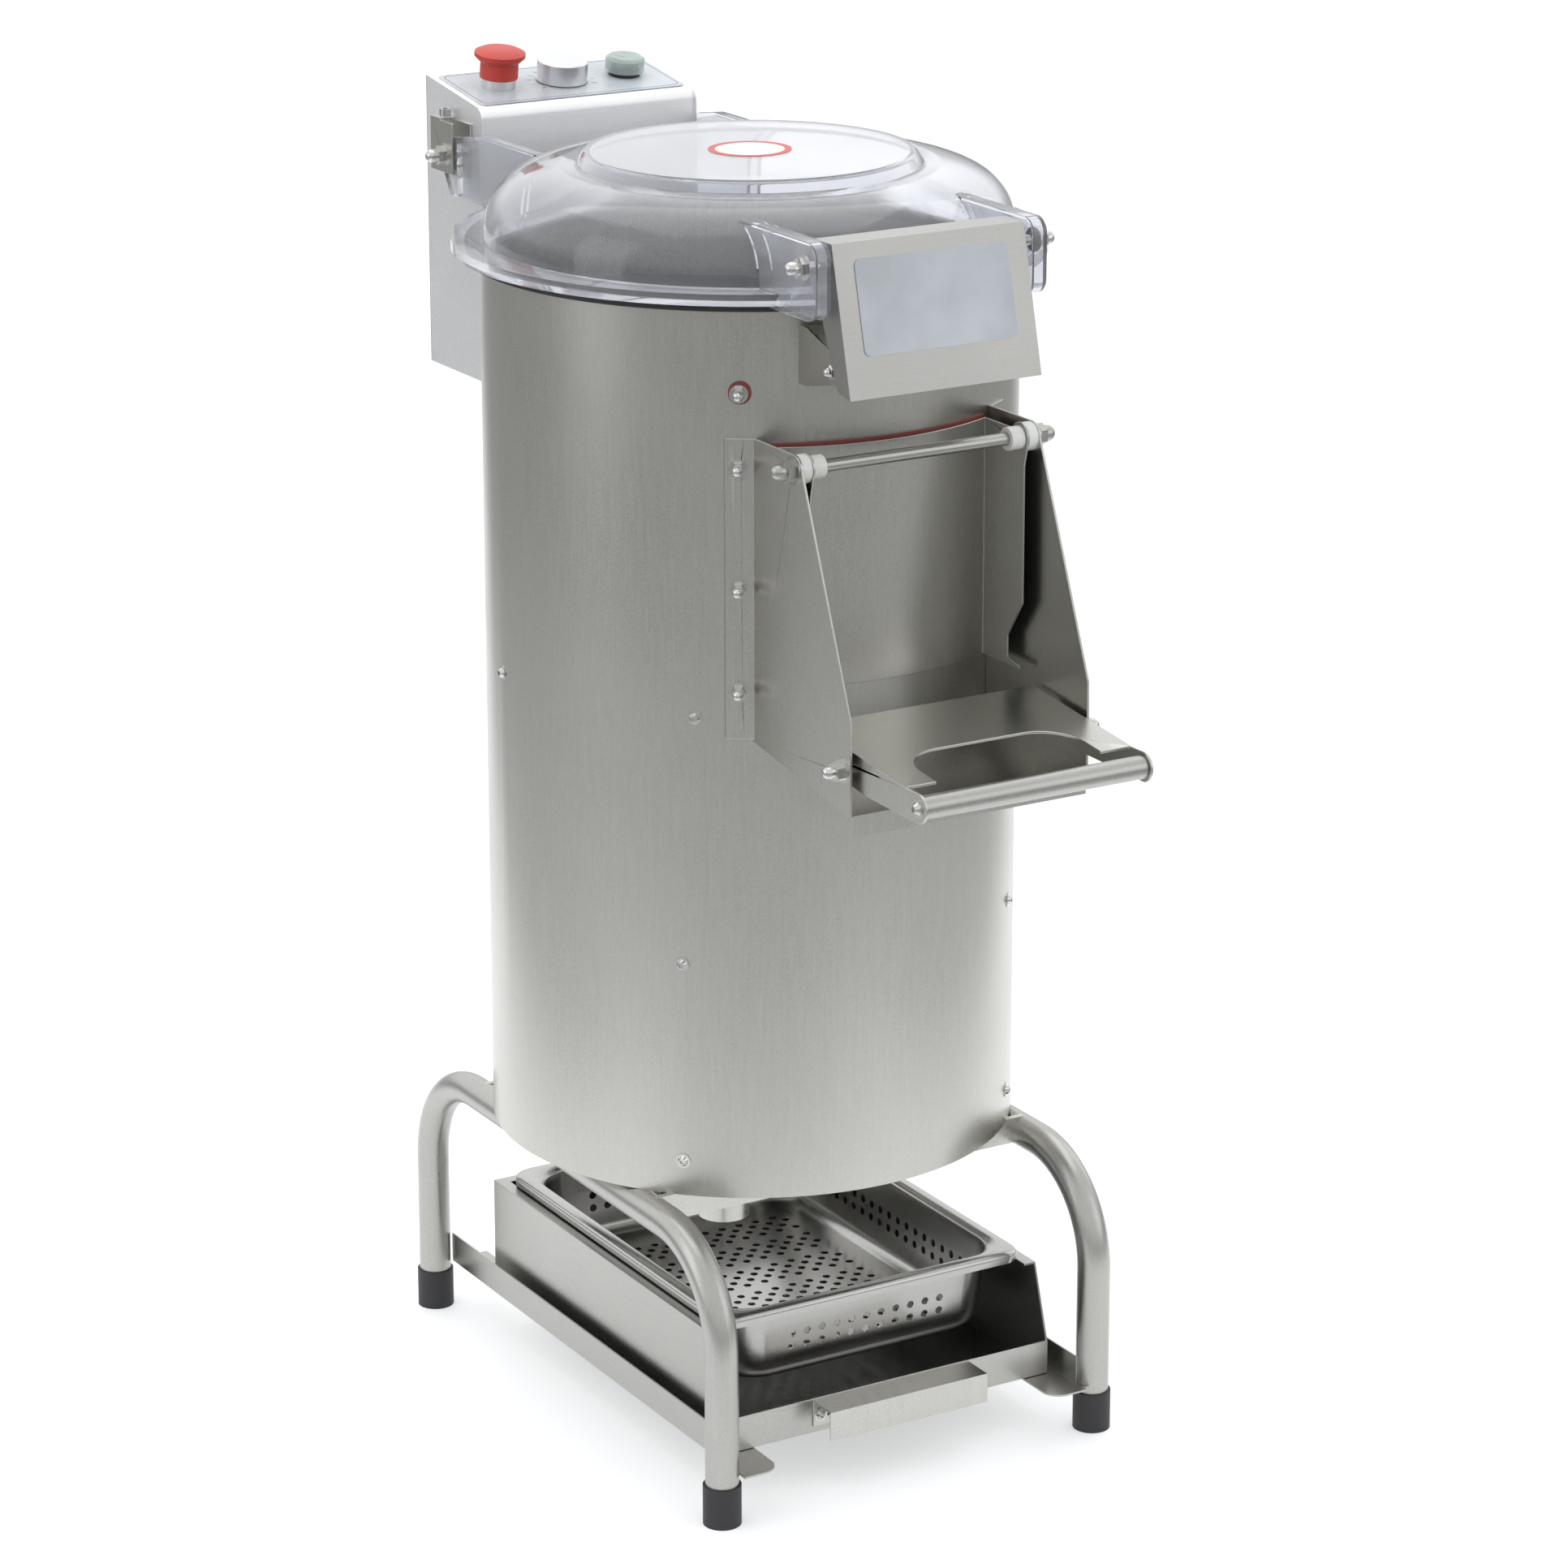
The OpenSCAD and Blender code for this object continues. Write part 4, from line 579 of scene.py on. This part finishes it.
# Painted glow: the floor emits light, strongest on the lit strip and near the appliance
glowing_floor.link(glowing_floor.tones(painted_light_level, (0.04, 0.04, 0.04), (0.37, 0.375, 0.38), 0, 1), "Emission Color")
glowing_floor.set(Roughness=0.9, Emission_Strength=1.0)
floor_mesh.materials.append(glowing_floor.material)

world = bpy.data.worlds.new("studio")
world.use_nodes = True
bpy.context.scene.world = world
sky = world.node_tree
direction = sky.nodes.new("ShaderNodeTexCoord").outputs["Generated"]
parts = sky.nodes.new("ShaderNodeSeparateXYZ")
sky.links.new(direction, parts.inputs["Vector"])


def graded(value, start, end, low, high):
    """low up to start, high from end on, and a straight run between."""
    node = sky.nodes.new("ShaderNodeMapRange")
    for name, number in (("From Min", start), ("From Max", end), ("To Min", low), ("To Max", high)):
        node.inputs[name].default_value = number
    sky.links.new(value, node.inputs["Value"])
    return node.outputs["Result"]


def joined(kind, a, b):
    node = sky.nodes.new("ShaderNodeMath")
    node.operation = kind
    sky.links.new(a, node.inputs[0])
    sky.links.new(b, node.inputs[1])
    return node.outputs["Value"]


# Dim below the horizon, an even studio above it, and a brighter wall behind
even = graded(parts.outputs["Z"], 0.0, 0.18, 0.36, 0.95)
wall = joined("MULTIPLY", graded(parts.outputs["Y"], 0.2, 0.8, 0, 1),
              graded(parts.outputs["Z"], 0.05, 0.2, 0, 0.30))
sky.links.new(joined("ADD", even, wall), sky.nodes["Background"].inputs["Strength"])
sky.nodes["Background"].inputs["Color"].default_value = (0.985, 0.99, 1.0, 1)


def softbox(name, place, target, size, power):
    light = bpy.data.lights.new(name, "AREA")
    light.shape = "RECTANGLE"
    light.size, light.size_y = size
    light.energy = power
    thing = bpy.data.objects.new(name, light)
    thing.location = place
    thing.rotation_euler = (Vector(target) - Vector(place)).to_track_quat("-Z", "Y").to_euler()
    bpy.context.scene.collection.objects.link(thing)


middle = (0, 0, 0.55)
softbox("top_light", (0.2, 0.6, 3.4), (0, 0, 0.4), (3.0, 3.0), 22)
softbox("left_light", (-2.6, 0.3, 1.5), middle, (1.2, 2.4), 7)
softbox("right_light", (2.4, 0.5, 1.6), middle, (1.2, 2.4), 4)
softbox("front_light", (2.2, -2.6, 1.5), middle, (2.2, 2.2), 8)


# ---- Camera ----

AZIMUTH, ELEVATION, ROLL = math.radians(-30.13), math.radians(15.33), math.radians(-0.18)
CAMERA_PLACE = Vector((-1.83727, -3.11277, 1.64178))
SENSOR_WIDTH, FOCAL_LENGTH = 36, 115.16
back = Vector((math.sin(AZIMUTH) * math.cos(ELEVATION), -math.cos(AZIMUTH) * math.cos(ELEVATION),
               math.sin(ELEVATION)))
right = Vector((0, 0, 1)).cross(back).normalized()
up = back.cross(right)
turned = Matrix((right, up, back)).transposed().to_4x4() @ Matrix.Rotation(ROLL, 4, "Z")
lens = bpy.data.cameras.new("camera")
lens.sensor_width = SENSOR_WIDTH
lens.lens = FOCAL_LENGTH
lens.shift_x = 0.0315
lens.shift_y = -0.136
camera = bpy.data.objects.new("camera", lens)
camera.matrix_world = Matrix.Translation(CAMERA_PLACE) @ turned
bpy.context.scene.collection.objects.link(camera)
bpy.context.scene.camera = camera
bpy.context.scene.view_settings.view_transform = "Standard"
